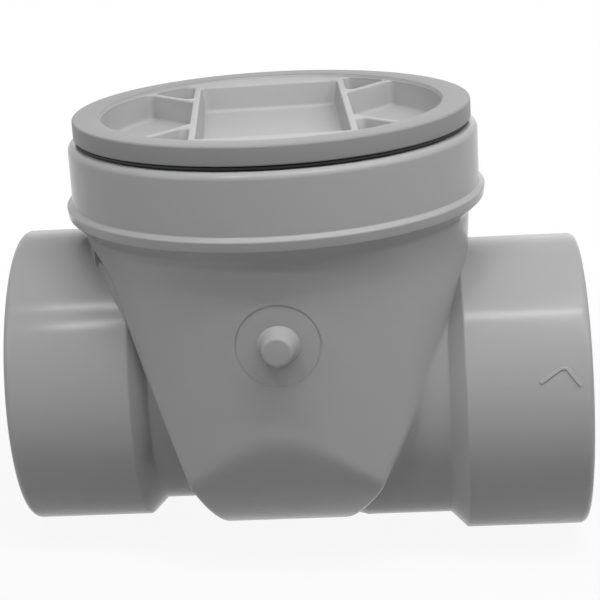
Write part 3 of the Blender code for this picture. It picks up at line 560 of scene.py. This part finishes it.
def chamber_void():
    """The space inside chamber, neck and collar, with the collar's thread."""
    bore = CHAMBER_R - WALL
    rows = sump_rows(WALL, bore, VOID_LEVELS)
    rows += wall_rows(WALL, bore, LEDGE_Z + LEDGE_THICKNESS, SHELF_CORNER_R)
    rows += turned_rows([(bore, LEDGE_Z + LEDGE_THICKNESS), (bore, THREAD_FOOT_Z - THREAD_RELIEF)])
    across, along = circle(COLUMNS)
    angles = 2 * math.pi * np.arange(COLUMNS) / COLUMNS
    top = COLLAR_TOP_Z - COLLAR_EDGE
    for z in np.arange(THREAD_FOOT_Z, top, THREAD_PITCH / THREAD_STEPS):
        far = THREAD_R - thread_height(np.full(COLUMNS, z), angles, THREAD_FOOT_Z, top, COLLAR_CREST)
        rows.append(np.stack((across * far, along * far, np.full(COLUMNS, z)), 1))
    mouth = THREAD_R + COLLAR_EDGE
    rows += turned_rows([(THREAD_R, top)] + arc((mouth, top), COLLAR_EDGE, 180, 90, 5))
    rows += turned_rows([(mouth, COLLAR_TOP_Z + WALL), (0.0, COLLAR_TOP_Z + WALL)])
    return shell("chamber_void", rows)


def hub(name, reach, height):
    """Outside of a socket hub, from just behind its shoulder; reach < 0 is the inlet."""
    side = 1.0 if reach > 0 else -1.0
    far = abs(reach)
    foot = shoulder_foot(reach)
    tube_r = TUBE_R - 0.00002
    profile = [(0.0, foot - TUBE_LAP), (tube_r, foot - TUBE_LAP), (tube_r, foot, SHOULDER_FOOT_R),
               (HUB_R, foot + SHOULDER, SHOULDER_EDGE_R), (HUB_R, far, HUB_EDGE_R), (0.0, far)]
    profile = [(r, side * h) for r, h in rounded(profile, 8)]
    return spun(name, profile, HUB_COLUMNS, "X", (0.0, 0.0, height))


def waterway(name, reach, height, inner):
    """Socket and bore to cut out of a hub; inner ends the bore inside the chamber."""
    side = 1.0 if reach > 0 else -1.0
    far = abs(reach)
    stop = far - SOCKET_DEPTH
    mouth = SOCKET_R + SOCKET_LEAD
    profile = inner + [(BORE_R, stop, 0.0008), (SOCKET_R - SOCKET_TAPER, stop),
                       (SOCKET_R, far - SOCKET_LEAD, 0.0010), (mouth, far, 0.0004),
                       (mouth + 0.004, far + SOCKET_OVERCUT), (0.0, far + SOCKET_OVERCUT)]
    profile = [(r, side * h) for r, h in rounded(profile)]
    return spun(name, profile, HUB_COLUMNS, "X", (0.0, 0.0, height))


def skirt_strip(name, outer, half_width, low, high):
    """A strip of thin upright wall round the inlet side, in front of the moulding pocket."""
    half = math.degrees(math.asin(half_width / CHAMBER_R))
    outline = arc((0, 0), outer, 180 - half, 180 + half, SKIRT_STEPS)
    outline += arc((0, 0), outer - SKIRT_THICKNESS, 180 + half, 180 - half, SKIRT_STEPS)
    return lofted(name, [(outline, low), (outline, high)])


def flow_mark():
    """The raised chevron on the outlet hub, drawn along its surface."""
    path = []
    for start, end in zip(FLOW_MARK, FLOW_MARK[1:]):
        steps = np.linspace(0.0, 1.0, 9)[:-1, None]
        path += list(np.array(start) * (1 - steps) + np.array(end) * steps)
    path.append(np.array(FLOW_MARK[-1]))
    rows = []
    for i, (x, turn) in enumerate(path):
        ahead = path[min(i + 1, len(path) - 1)] - path[max(i - 1, 0)]
        run = Vector((ahead[0], math.radians(ahead[1]) * HUB_R)).normalized() * FLOW_MARK_WIDTH / 2
        row = []
        for side, r in ((-1.4, HUB_R - FLOW_MARK_SINK), (-1.0, HUB_R + 0.2 * FLOW_MARK_HEIGHT),
                        (-0.5, HUB_R + FLOW_MARK_HEIGHT), (0.5, HUB_R + FLOW_MARK_HEIGHT),
                        (1.0, HUB_R + 0.2 * FLOW_MARK_HEIGHT), (1.4, HUB_R - FLOW_MARK_SINK)):
            at = math.radians(turn) + side * run.x / HUB_R
            row.append((x - side * run.y, -r * math.cos(at), OUTLET_Z + r * math.sin(at)))
        rows.append(row)
    ends = [[tuple(np.mean(row, axis=0))] * len(row) for row in (rows[0], rows[-1])]
    return shell("flow_mark", [ends[0]] + rows + [ends[1]])


def boss_recess():
    """The shallow round recess that the front boss stands in."""
    profile = [(0.0, -CHAMBER_R + WALL), (BOSS_RECESS_R, -CHAMBER_R + WALL),
               (BOSS_RECESS_R, -CHAMBER_R - BOSS_FOOT_RISE), (0.0, -CHAMBER_R - BOSS_FOOT_RISE)]
    recess = spun("boss_recess", profile, 160, "Y", (BOSS_X, 0.0, BOSS_Z))
    kept = spun("recess_floor", [(0.0, -0.1), (CHAMBER_R - BOSS_RECESS_DEPTH, -0.1),
                                 (CHAMBER_R - BOSS_RECESS_DEPTH, 0.1), (0.0, 0.1)], COLUMNS)
    return joined(recess, [(kept, "DIFFERENCE")])


def boss():
    """The small round boss on the front."""
    face = -CHAMBER_R - BOSS_HEIGHT
    profile = [(0.0, -CHAMBER_R + WALL / 2), (BOSS_FOOT_R + 1.2 * BOSS_FOOT_FLARE, -CHAMBER_R + WALL / 2),
               (BOSS_FOOT_R + BOSS_FOOT_FLARE, -CHAMBER_R + 0.0007),
               (BOSS_FOOT_R, -CHAMBER_R - BOSS_FOOT_RISE, 0.0015),
               (BOSS_FACE_R, face, 0.0014), (0.0, face)]
    return spun("boss", rounded(profile, 8), 96, "Y", (BOSS_X, 0.0, BOSS_Z))


def make_body(mat):
    """The moulded body: outside forms joined, then the inside, seat and fixings cut."""
    form = chamber_form()
    form.name = "valve_body_shell"
    inlet_end = [(0.0, INLET_BORE_END), (BORE_R, INLET_BORE_END)]
    outlet_end = [(0.0, OUTLET_BORE_END), (BORE_R - OUTLET_BORE_STEP, OUTLET_BORE_END),
                  (BORE_R, OUTLET_BORE_FULL)]
    groove = spun("seat_groove", [(0.0, -SEAT_SINK), (SEAT_OUTER_R + GAP, -SEAT_SINK),
                                  (SEAT_OUTER_R + GAP, WALL), (0.0, WALL)], SEAT_COLUMNS, "X")
    groove.data.transform(SEAT)
    skirt = skirt_strip("skirt", CHAMBER_R - GAP, SKIRT_HALF_WIDTH, INLET_Z + SOCKET_R - WALL,
                        LEDGE_Z + LEDGE_THICKNESS / 2)
    web = skirt_strip("skirt_web", SKIRT_WEB_R, SKIRT_WEB_HALF_WIDTH, SKIRT_WEB_FOOT_Z, SKIRT_WEB_HEAD_Z)
    steps = [(hub("inlet_hub", -INLET_REACH, INLET_Z), "UNION"),
             (hub("outlet_hub", OUTLET_REACH, OUTLET_Z), "UNION"),
             (skirt, "UNION"),
             (web, "UNION"),
             (flow_mark(), "UNION"),
             (boss_recess(), "DIFFERENCE"),
             (boss(), "UNION"),
             (chamber_void(), "DIFFERENCE"),
             (waterway("inlet_waterway", -INLET_REACH, INLET_Z, inlet_end), "DIFFERENCE"),
             (waterway("outlet_waterway", OUTLET_REACH, OUTLET_Z, outlet_end), "DIFFERENCE"),
             (groove, "DIFFERENCE")]
    hole_foot = SCREW_FLOOR - WALL - GAP
    for side, _ in SIDES:
        hole = spun("bracket_hole", [(0.0, hole_foot), (SCREW_R + GAP, hole_foot), (SCREW_R + GAP, WALL),
                                     (0.0, WALL)], SMALL_COLUMNS, "X",
                    (0.0, side * BRACKET_SCREW_Y, PIN_U))
        hole.data.transform(SEAT)
        steps.append((hole, "DIFFERENCE"))
    joined(form, steps)
    piece(form, VALVE, "valve", "body_plastic", mat, "valve_body")


def pushed_out(outline, radius):
    """A convex anticlockwise outline pushed out by radius, which rounds its corners."""
    points = []
    count = len(outline)
    for i in range(count):
        corner = Vector(outline[i])
        before = (corner - Vector(outline[i - 1])).normalized()
        after = (Vector(outline[(i + 1) % count]) - corner).normalized()
        turn = math.atan2(before.x * after.y - before.y * after.x, before.dot(after))
        spokes = ROUNDING_SPOKES if turn > ROUNDING_TURN else 1
        for k in range(spokes):
            bend = turn * (k + 0.5) / spokes if spokes == 1 else turn * k / (spokes - 1)
            spoke = Vector((before.y, -before.x))
            spoke.rotate(Matrix.Rotation(bend, 2))
            points.append(tuple(corner + spoke * radius))
    return points


def grip_outlines(grow, rim):
    """The cap's recesses grown by grow, out to a radius of rim: channel, side pocket, corner pocket."""
    wall = CHANNEL_HALF_WIDTH + GRIP_WALL - grow
    root = Vector((CHANNEL_HALF_WIDTH + GRIP_WALL, GRIP_RIB_ROOT_Y))
    tip = Vector((GRIP_R * math.cos(GRIP_RIB_ANGLE), GRIP_R * math.sin(GRIP_RIB_ANGLE)))
    along = (tip - root).normalized()
    across = Vector((-along.y, along.x))

    def ends(offset):
        """Where a rib's face meets the channel wall and the rim."""
        start = root + across * offset
        half = start.dot(along)
        low = start + along * ((wall - start.x) / along.x)
        return low, start + along * (-half + math.sqrt(half * half - start.dot(start) + rim * rim))
    inner_low, inner_high = ends(-GRIP_WALL / 2 + grow)
    outer_low, outer_high = ends(GRIP_WALL / 2 - grow)
    width = CHANNEL_HALF_WIDTH + grow
    length = CHANNEL_HALF_LENGTH + grow
    channel = [(-width, -length), (width, -length), (width, length), (-width, length)]
    reach = math.degrees(math.atan2(inner_high.y, inner_high.x))
    pocket = [(inner_low.x, -inner_low.y)] + arc((0, 0), rim, -reach, reach, 60) + [tuple(inner_low)]
    start = math.degrees(math.atan2(outer_high.y, outer_high.x))
    corner = [tuple(outer_low)] + arc((0, 0), rim, start, math.degrees(math.acos(wall / rim)), 16)
    return channel, pocket, corner


def grip_levels():
    """Growth and height of the recesses' walls, from the rounded floor edge to the flared top."""
    floor = CAP_TOP_Z - GRIP_DEPTH
    top = CAP_TOP_Z - GRIP_STEP
    levels = []
    for turn in np.radians(np.linspace(0, 90, 7)):
        levels.append((-GRIP_DRAFT - GRIP_FLOOR_R * (1 - math.sin(turn)),
                       floor + GRIP_FLOOR_R * (1 - math.cos(turn))))
    for turn in np.radians(np.linspace(0, 90, 7)):
        levels.append((GRIP_TOP_R * (1 - math.cos(turn)), top - GRIP_TOP_R * (1 - math.sin(turn))))
    levels.append((GRIP_TOP_R, CAP_TOP_Z + GRIP_STEP))
    return levels


def make_cap(mats):
    """The screw cap: flange, threaded skirt and the recesses that a bar turns it by."""
    floor = CAP_TOP_Z - GRIP_DEPTH
    under = floor - CAP_FLOOR_THICKNESS
    step = CAP_TOP_Z - GRIP_STEP
    inner = CAP_SKIRT_R - CAP_SKIRT_WALL
    low = rounded([(0.0, under), (inner, under, 0.0020), (inner, THREAD_FOOT_Z, 0.0010),
                   (CAP_SKIRT_R, THREAD_FOOT_Z, 0.0010), (CAP_SKIRT_R, FLANGE_FOOT_Z)])[:-1]
    high = rounded([(CAP_SKIRT_R, FLANGE_FOOT_Z), (FLANGE_R, FLANGE_FOOT_Z, 0.0006),
                    (FLANGE_R, CAP_TOP_Z, FLANGE_EDGE), (GRIP_R, CAP_TOP_Z, 0.0007),
                    (GRIP_R - 0.0002, step, 0.0005), (0.0, step)])
    across, along = circle(COLUMNS)
    angles = 2 * math.pi * np.arange(COLUMNS) / COLUMNS + CAP_TURN
    foot = THREAD_FOOT_Z + 2 * THREAD_RELIEF
    top = FLANGE_FOOT_Z - THREAD_RELIEF
    rows = turned_rows(low)
    for z in np.arange(foot, top, THREAD_PITCH / THREAD_STEPS):
        level = np.full(COLUMNS, z)
        far = CAP_SKIRT_R + thread_height(level + THREAD_PITCH / 2, angles, foot + THREAD_PITCH / 2,
                                          top + THREAD_PITCH / 2, CAP_CREST)
        rows.append(np.stack((across * far, along * far, level), 1))
    obj = shell("access_cap_shell", rows + turned_rows(high))
    steps = []
    mirrors = ([(1, 1)], [(1, 1), (-1, 1)], [(1, 1), (-1, 1), (-1, -1), (1, -1)])
    for number, name in enumerate(("channel", "side_pocket", "corner_pocket")):
        for sx, sy in mirrors[number]:
            rows = []
            for grow, height in grip_levels():
                rim = GRIP_R - GRIP_RIM_GAP + min(grow, 0.0) - GRIP_CORNER_R
                core = grip_outlines(grow - GRIP_CORNER_R, rim)
                outline = pushed_out(core[number], GRIP_CORNER_R)
                rows.append(([(sx * x, sy * y) for x, y in outline], height))
            steps.append((lofted(name, rows), "DIFFERENCE"))
    joined(obj, steps)
    piece(obj, CAP, "cap", "cap_plastic", mats["cap"], "access_cap")
    # Faces inside the recess take the paler second grey: painted light that lightens the shade there
    obj.data.materials.append(mats["recess"])
    back = CAP.inverted()
    for face in obj.data.polygons:
        middle = back @ face.center
        inside = middle.xy.length < GRIP_R + GRIP_TOP_R and middle.z > floor - GAP
        face.material_index = 1 if inside and middle.z < CAP_TOP_Z - GAP else 0


def make_ring(mat):
    """The rubber ring between the cap's flange and the collar."""
    low = COLLAR_TOP_Z + GAP
    high = low + RING_THICKNESS
    profile = rounded([(RING_INNER_R, low, 0.0006), (RING_OUTER_R, low, 0.0010),
                       (RING_OUTER_R, high, 0.0010), (RING_INNER_R, high, 0.0006)])
    ring = spun("cap_o_ring_round", profile, COLUMNS, ring=True)
    piece(ring, CAP, "cap_ring", "ring_rubber", mat, "cap_o_ring")


def eased(obj, width, segments=2):
    """Round an object's sharp edges a little."""
    bm = bmesh.new()
    bm.from_mesh(obj.data)
    edges = [e for e in bm.edges if len(e.link_faces) == 2 and e.calc_face_angle() > math.radians(30)]
    bmesh.ops.bevel(bm, geom=edges, offset=width, segments=segments, profile=0.5, affect="EDGES")
    bm.to_mesh(obj.data)
    bm.free()
    return obj


def slab(name, x, y, z, edge=0.0):
    """A box from its low and high limits on each axis, with eased edges where edge is given."""
    outline = [(x[0], y[0]), (x[1], y[0]), (x[1], y[1]), (x[0], y[1])]
    obj = lofted(name, [(outline, z[0]), (outline, z[1])])
    return eased(obj, edge) if edge else obj


def plate_on_y(name, outline, low, high, edge):
    """An outline of (n, u) points extruded along Y from low to high, with eased edges."""
    obj = lofted(name, [(outline, -high), (outline, -low)])
    obj.data.transform(Matrix.Rotation(math.pi / 2, 4, "X"))
    return eased(obj, edge)


def rod(name, radius, low, high, edge=0.0, axis="X", centre=(0.0, 0.0, 0.0), columns=SMALL_COLUMNS):
    """A round bar, with its ends rounded where edge is given."""
    profile = [(0.0, low), (radius, low), (radius, high), (0.0, high)]
    if edge:
        profile = rounded([(0.0, low), (radius, low, edge), (radius, high, edge), (0.0, high)])
    return spun(name, profile, columns, axis, centre)


def screw(name, head_n, tip_n, y, u):
    """A pan head screw along n with a cross recess: head's underside at head_n, tip at tip_n."""
    crown = head_n + SCREW_HEAD_HEIGHT
    profile = [(0.0, tip_n), (SCREW_R * 0.7, tip_n), (SCREW_R, tip_n + SCREW_R * 0.4), (SCREW_R, head_n),
               (SCREW_HEAD_R, head_n, 0.0003), (SCREW_HEAD_R, crown - 0.0002, 0.0013), (0.0, crown)]
    obj = spun(name, rounded(profile, 8), SMALL_COLUMNS, "X")
    low, high = SCREW_RECESS_REACH
    outline = [(crown - SCREW_RECESS, -low), (crown + 0.001, -high), (crown + 0.001, high),
               (crown - SCREW_RECESS, low)]
    steps = []
    for turn in (0.0, math.pi / 2):
        slot = lofted("recess", [(outline, -SCREW_RECESS_HALF_WIDTH), (outline, SCREW_RECESS_HALF_WIDTH)])
        slot.data.transform(Matrix.Rotation(turn + SCREW_RECESS_TURN, 4, "X"))
        steps.append((slot, "DIFFERENCE"))
    joined(obj, steps)
    obj.data.transform(Matrix.Translation((0.0, y, u)))
    return obj


def screw_places():
    """Centres of the screws round the gate, as (across, up) from the gate's centre."""
    angles = [2 * math.pi * i / GATE_RIBS for i in range(GATE_RIBS)]
    return [(SCREW_CIRCLE_R * math.cos(a), SCREW_CIRCLE_R * math.sin(a)) for a in angles]


def make_seat(mat):
    """The smooth ring let into the inclined wall that the flapper closes on."""
    low = GAP - SEAT_SINK
    profile = rounded([(SEAT_R, low, 0.0004), (SEAT_OUTER_R, low, 0.0004),
                       (SEAT_OUTER_R, SEAT_PROUD, 0.0010), (SEAT_R, SEAT_PROUD, 0.0010)])
    ring = spun("seat_ring_round", profile, SEAT_COLUMNS, "X", ring=True)
    piece(ring, VALVE @ SEAT, "valve", "seat_plastic", mat, "seat_ring")


def make_gate(mats):
    """The gate with its ribs, arm and knuckle, then the seal, the plate that clamps it and its screws."""
    base = GATE_N - PIN_N
    face = base + GATE_THICKNESS
    crest = base + GATE_RIM_HEIGHT
    inner = GATE_R - GATE_RIM_WIDTH
    middle = (0.0, 0.0, -PIN_U)
    profile = rounded([(0.0, base), (GATE_R, base, 0.0005), (GATE_R, crest, 0.0008),
                       (inner, crest, 0.0008), (inner, face, 0.0012), (GATE_BOSS_R, face, 0.0012),
                       (GATE_BOSS_R, crest, 0.0008), (0.0, crest)])
    gate = spun("flapper_shell", profile, SEAT_COLUMNS, "X", middle)
    steps = []
    half = GATE_RIB_THICKNESS / 2
    for i in range(GATE_RIBS):
        rib = slab("gate_rib", (face - 0.001, crest - GATE_RIB_DROP), (-half, half),
                   (GATE_BOSS_R - 0.002, inner + 0.002), 0.0005)
        turn = Matrix.Rotation(2 * math.pi * i / GATE_RIBS, 4, "X")
        rib.data.transform(Matrix.Translation(middle) @ turn)
        steps.append((rib, "UNION"))
    foot = -PIN_U + inner - ARM_FOOT_LAP
    flank = (KNUCKLE_R * 0.8, -KNUCKLE_R * math.sin(ARM_HEAD_ANGLE))
    outline = [(base + GATE_THICKNESS / 4, foot), (crest + ARM_PROUD, foot), flank, (0.0, 0.0),
               (-flank[0], flank[1])]
    arm = plate_on_y("gate_arm", outline, -ARM_HALF_WIDTH, ARM_HALF_WIDTH, 0.0006)
    steps.append((arm, "UNION"))
    reach = KNUCKLE_HALF_LENGTH
    steps.append((rod("knuckle", KNUCKLE_R, -reach, reach, 0.0007, "Y"), "UNION"))
    bore = rod("knuckle_bore", PIN_BORE_R, -reach - 0.002, reach + 0.002, 0.0, "Y")
    steps.append((bore, "DIFFERENCE"))
    steps += drills(GATE_N - WALL, GATE_N + GATE_RIM_HEIGHT + WALL)
    joined(gate, steps)
    piece(gate, VALVE @ SEAT @ PIVOT, "gate", "gate_plastic", mats["gate"], "flapper")

    low = SEAL_N - PIN_N
    seal = rod("flapper_seal_disc", SEAL_R, low, low + SEAL_THICKNESS, 0.0009, "X", middle, SEAT_COLUMNS)
    joined(seal, drills(SEAL_N - WALL, SEAL_N + 2 * WALL))
    piece(seal, VALVE @ SEAT @ PIVOT, "gate", "seal_rubber", mats["rubber"], "flapper_seal")
    low = RETAINER_N - PIN_N
    plate = rod("seal_retainer_disc", RETAINER_R, low, low + RETAINER_THICKNESS, 0.0008, "X", middle,
                SEAT_COLUMNS)
    joined(plate, drills(RETAINER_N - WALL, RETAINER_N + WALL))
    piece(plate, VALVE @ SEAT @ PIVOT, "gate", "gate_plastic", mats["gate"], "seal_retainer")
    head = GATE_N + GATE_THICKNESS + GAP - PIN_N
    for number, (y, u) in enumerate(screw_places(), 1):
        fixing = screw("retainer_screw_%d_turned" % number, head, RETAINER_N + 0.0005 - PIN_N, y, u - PIN_U)
        piece(fixing, VALVE @ SEAT @ PIVOT, "gate", "fixing_steel", mats["steel"],
              "retainer_screw_%d" % number)


def drills(low, high):
    """Steps that cut the ring of screw holes, between two distances from the inclined wall."""
    steps = []
    for y, u in screw_places():
        hole = rod("hole", SCREW_R + GAP, low - PIN_N, high - PIN_N, 0.0, "X", (0.0, y, u - PIN_U))
        steps.append((hole, "DIFFERENCE"))
    return steps


def make_hinge(mats):
    """The bracket above the seat with its ears, bushes, pin, clips and screws."""
    top = BRACKET_THICKNESS + GAP
    bracket = slab("hinge_bracket_plate", (GAP, top), (-BRACKET_HALF_WIDTH, BRACKET_HALF_WIDTH),
                   (BRACKET_FOOT_U, BRACKET_TOP_U), 0.0005)
    inside = GAP + BRACKET_THICKNESS / 2
    outline = [(inside, BRACKET_FOOT_U + 0.0008)] + arc((PIN_N, PIN_U), EAR_R, -90, 90, 32)
    outline += [(inside, BRACKET_TOP_U - 0.0008)]
    steps = []
    for side, _ in SIDES:
        low, high = sorted((side * EAR_Y, side * (EAR_Y + EAR_THICKNESS)))
        steps.append((plate_on_y("ear", outline, low, high, 0.0004), "UNION"))
    for side, label in SIDES:
        steps.append((rod("hole", SCREW_R + GAP, -WALL, 2 * WALL, 0.0, "X",
                          (0.0, side * BRACKET_SCREW_Y, PIN_U)), "DIFFERENCE"))
        fixing = screw("bracket_screw_%s_turned" % label, top + GAP, SCREW_FLOOR - WALL,
                       side * BRACKET_SCREW_Y, PIN_U)
        piece(fixing, VALVE @ SEAT, "valve", "fixing_steel", mats["steel"], "bracket_screw_" + label)
    axis = (PIN_N, 0.0, PIN_U)
    bore = rod("ear_bore", BUSH_R + GAP, -PIN_HALF_LENGTH, PIN_HALF_LENGTH, 0.0, "Y", axis)
    steps.append((bore, "DIFFERENCE"))
    joined(bracket, steps)
    piece(bracket, VALVE @ SEAT, "valve", "seat_plastic", mats["gate"], "hinge_bracket")
    pin = rod("hinge_pin_round", PIN_R, -PIN_HALF_LENGTH, PIN_HALF_LENGTH, 0.0006, "Y", axis)
    piece(pin, VALVE @ SEAT, "valve", "fixing_steel", mats["steel"], "hinge_pin")
    for side, label in SIDES:
        end = EAR_Y + EAR_THICKNESS
        inner, rim = PIN_R + GAP, BUSH_FOOT_Y + BUSH_FLANGE
        bush = rounded([(inner, BUSH_FOOT_Y, 0.0002), (BUSH_FLANGE_R, BUSH_FOOT_Y, 0.0003),
                        (BUSH_FLANGE_R, rim, 0.0003), (BUSH_R, rim), (BUSH_R, end, 0.0003),
                        (inner, end, 0.0002)], 4)
        bush = spun("hinge_bush_%s_turned" % label, [(r, side * h) for r, h in bush], SMALL_COLUMNS, "Y",
                    axis, True)
        piece(bush, VALVE @ SEAT, "valve", "bush_plastic", mats["bush"], "hinge_bush_" + label)
        half = CLIP_MOUTH / 2
        outline = arc((PIN_N, PIN_U), CLIP_R, half, 360 - half, 48)
        outline += arc((PIN_N, PIN_U), PIN_R + GAP, 360 - half, half, 48)
        low, high = sorted((side * CLIP_Y, side * (CLIP_Y + CLIP_THICKNESS)))
        clip = plate_on_y("pin_clip_%s_flat" % label, outline, low, high, 0.0002)
        piece(clip, VALVE @ SEAT, "valve", "fixing_steel", mats["steel"], "pin_clip_" + label)


def plastic(name, shade, roughness, specular):
    """Moulded plastic: a grey with a faint cloud in it, and a fine grain."""
    mat = bpy.data.materials.new(name)
    mat.use_nodes = True
    nodes, links = mat.node_tree.nodes, mat.node_tree.links
    shader = nodes["Principled BSDF"]
    shader.inputs["Specular IOR Level"].default_value = specular
    place = nodes.new("ShaderNodeTexCoord")
    cloud = nodes.new("ShaderNodeTexNoise")
    cloud.inputs["Scale"].default_value = CLOUD_SCALE
    cloud.inputs["Detail"].default_value = 3.0
    links.new(place.outputs["Object"], cloud.inputs["Vector"])
    colour = nodes.new("ShaderNodeMix")
    colour.data_type = "RGBA"
    colour.inputs["A"].default_value = (*(c * (1.0 - CLOUD_DEPTH) for c in shade), 1.0)
    colour.inputs["B"].default_value = (*(c * (1.0 + CLOUD_DEPTH) for c in shade), 1.0)
    links.new(cloud.outputs["Fac"], colour.inputs["Factor"])
    links.new(colour.outputs["Result"], shader.inputs["Base Color"])
    shader.inputs["Roughness"].default_value = roughness
    fine = nodes.new("ShaderNodeTexNoise")
    fine.inputs["Scale"].default_value = GRAIN_SCALE
    links.new(place.outputs["Object"], fine.inputs["Vector"])
    bump = nodes.new("ShaderNodeBump")
    bump.inputs["Strength"].default_value = 0.25
    bump.inputs["Distance"].default_value = GRAIN_DEPTH
    links.new(fine.outputs["Fac"], bump.inputs["Height"])
    links.new(bump.outputs["Normal"], shader.inputs["Normal"])
    return mat


def plain(name, shade, roughness, metallic=0.0):
    """An even finish for small pieces."""
    mat = bpy.data.materials.new(name)
    mat.use_nodes = True
    shader = mat.node_tree.nodes["Principled BSDF"]
    shader.inputs["Base Color"].default_value = (*shade, 1.0)
    shader.inputs["Roughness"].default_value = roughness
    shader.inputs["Metallic"].default_value = metallic
    return mat


def seen_directly(tree):
    """1 for rays from the camera, in reflections and through glass; 0 for light on surfaces."""
    path = tree.nodes.new("ShaderNodeLightPath")
    total = path.outputs["Is Camera Ray"]
    for output in ("Is Glossy Ray", "Is Transmission Ray"):
        add = tree.nodes.new("ShaderNodeMath")
        add.operation = "MAXIMUM"
        tree.links.new(total, add.inputs[0])
        tree.links.new(path.outputs[output], add.inputs[1])
        total = add.outputs[0]
    return total


def make_world():
    """White where it is seen, and dimmer as light on the object."""
    world = bpy.data.worlds.new("white_room")
    world.use_nodes = True
    bpy.context.scene.world = world
    tree = world.node_tree
    strength = tree.nodes.new("ShaderNodeMapRange")
    strength.inputs["To Min"].default_value = SKY
    tree.links.new(seen_directly(tree), strength.inputs["Value"])
    tree.links.new(strength.outputs["Result"], tree.nodes["Background"].inputs["Strength"])
    tree.nodes["Background"].inputs["Color"].default_value = (1.0, 1.0, 1.0, 1.0)


def make_floor():
    """White table that the valve rests on by both its hubs; it keeps a faint shadow."""
    tilt = math.atan2(DROP, FLOOR_CONTACT_RUN)
    outline = arc((0, 0), TABLE_R, 0, 354, 59)
    floor = lofted("table", [(outline, -TABLE_THICKNESS), (outline, -TABLE_GAP)])
    lowest = VALVE @ Vector((OUTLET_REACH - HUB_LENGTH, 0.0, OUTLET_Z - HUB_R))
    floor.data.transform(Matrix.Translation(lowest) @ Matrix.Rotation(tilt, 4, "Y"))
    mat = bpy.data.materials.new("table_white")
    mat.use_nodes = True
    tree = mat.node_tree
    nodes, links = tree.nodes, tree.links
    nodes.remove(nodes["Principled BSDF"])
    white = nodes.new("ShaderNodeEmission")
    lit = nodes.new("ShaderNodeBsdfDiffuse")
    lit.inputs["Color"].default_value = (TABLE, TABLE, TABLE, 1.0)
    place = nodes.new("ShaderNodeTexCoord")
    length = nodes.new("ShaderNodeVectorMath")
    length.operation = "LENGTH"
    links.new(place.outputs["Object"], length.inputs[0])
    fade = nodes.new("ShaderNodeMapRange")
    fade.inputs["From Min"].default_value = SHADOW_REACH[0]
    fade.inputs["From Max"].default_value = SHADOW_REACH[1]
    fade.inputs["To Min"].default_value = 1.0 - SHADOW
    fade.inputs["To Max"].default_value = 1.0
    links.new(length.outputs["Value"], fade.inputs["Value"])
    seen = nodes.new("ShaderNodeMixShader")
    links.new(fade.outputs["Result"], seen.inputs["Fac"])
    links.new(lit.outputs["BSDF"], seen.inputs[1])
    links.new(white.outputs["Emission"], seen.inputs[2])
    final = nodes.new("ShaderNodeMixShader")
    links.new(seen_directly(tree), final.inputs["Fac"])
    links.new(lit.outputs["BSDF"], final.inputs[1])
    links.new(seen.outputs["Shader"], final.inputs[2])
    links.new(final.outputs["Shader"], nodes["Material Output"].inputs["Surface"])
    floor.data.materials.append(mat)


def lamp(name, place, aim, size, power):
    """A rectangular lamp at place, shining towards aim."""
    data = bpy.data.lights.new(name, "AREA")
    data.shape = "RECTANGLE"
    data.size, data.size_y = size
    data.energy = power
    obj = bpy.data.objects.new(name, data)
    bpy.context.collection.objects.link(obj)
    direction = Vector(aim) - Vector(place)
    obj.rotation_euler = direction.to_track_quat("-Z", "Y").to_euler()
    obj.location = place


def make_lamps():
    """Soft lamps from right, left and back, and two narrow ones that draw the lines along the hubs."""
    for name, azimuth, rise, reach, width, power in LAMPS:
        turn, rise = math.radians(azimuth), math.radians(rise)
        out = reach * math.cos(rise)
        place = (out * math.sin(turn), -out * math.cos(turn), LAMP_AIM_Z + reach * math.sin(rise))
        lamp(name, place, (0.0, 0.0, LAMP_AIM_Z), (width, LAMP_DEPTH), power)
    for name, angle, low, high, power in STRIPS:
        rise = math.radians(angle)
        middle = (low + high) / 2
        place = (middle, -STRIP_REACH * math.cos(rise), LAMP_AIM_Z + STRIP_REACH * math.sin(rise))
        lamp(name, place, (middle, 0.0, LAMP_AIM_Z), (high - low, STRIP_WIDTH), power)


def make_camera():
    """The photograph's viewpoint: elevation, azimuth towards the outlet and roll were fitted to it."""
    data = bpy.data.cameras.new("camera")
    data.sensor_width = 36.0
    data.lens = LENS
    camera = bpy.data.objects.new("camera", data)
    bpy.context.collection.objects.link(camera)
    bpy.context.scene.camera = camera
    aim = Vector((CAMERA_AIM_X, 0.0, CAMERA_AIM_Z))
    back = Vector((math.sin(CAMERA_AZIMUTH) * math.cos(CAMERA_RISE),
                   -math.cos(CAMERA_AZIMUTH) * math.cos(CAMERA_RISE), math.sin(CAMERA_RISE)))
    turn = back.to_track_quat("Z", "Y").to_matrix().to_4x4() @ Matrix.Rotation(CAMERA_ROLL, 4, "Z")
    camera.matrix_world = VALVE @ Matrix.Translation(aim + back * CAMERA_DISTANCE) @ turn


def main():
    """Build the pieces, then their surroundings."""
    bpy.context.scene.view_settings.view_transform = "Standard"
    mats = {
        "body": plastic("body_pvc", BODY_GREY, 0.18, 0.12),
        "cap": plastic("cap_pvc", CAP_GREY, 0.36, 0.04),
        # the recess: a paler copy of the cap's grey, painted light
        "recess": plastic("cap_recess_painted_light_pvc", RECESS_PAINTED_LIGHT_GREY, 0.40, 0.04),
        "gate": plastic("gate_pvc", GATE_GREY, 0.30, 0.22),
        "rubber": plain("black_rubber", (0.012, 0.012, 0.012), 0.70),
        "steel": plain("stainless_steel", (0.62, 0.61, 0.60), 0.28, 1.0),
        "bush": plain("white_acetal", (0.78, 0.78, 0.75), 0.35),
    }
    make_body(mats["body"])
    make_cap(mats)
    make_ring(mats["rubber"])
    make_seat(mats["gate"])
    make_gate(mats)
    make_hinge(mats)
    make_world()
    make_floor()
    make_lamps()
    make_camera()


main()
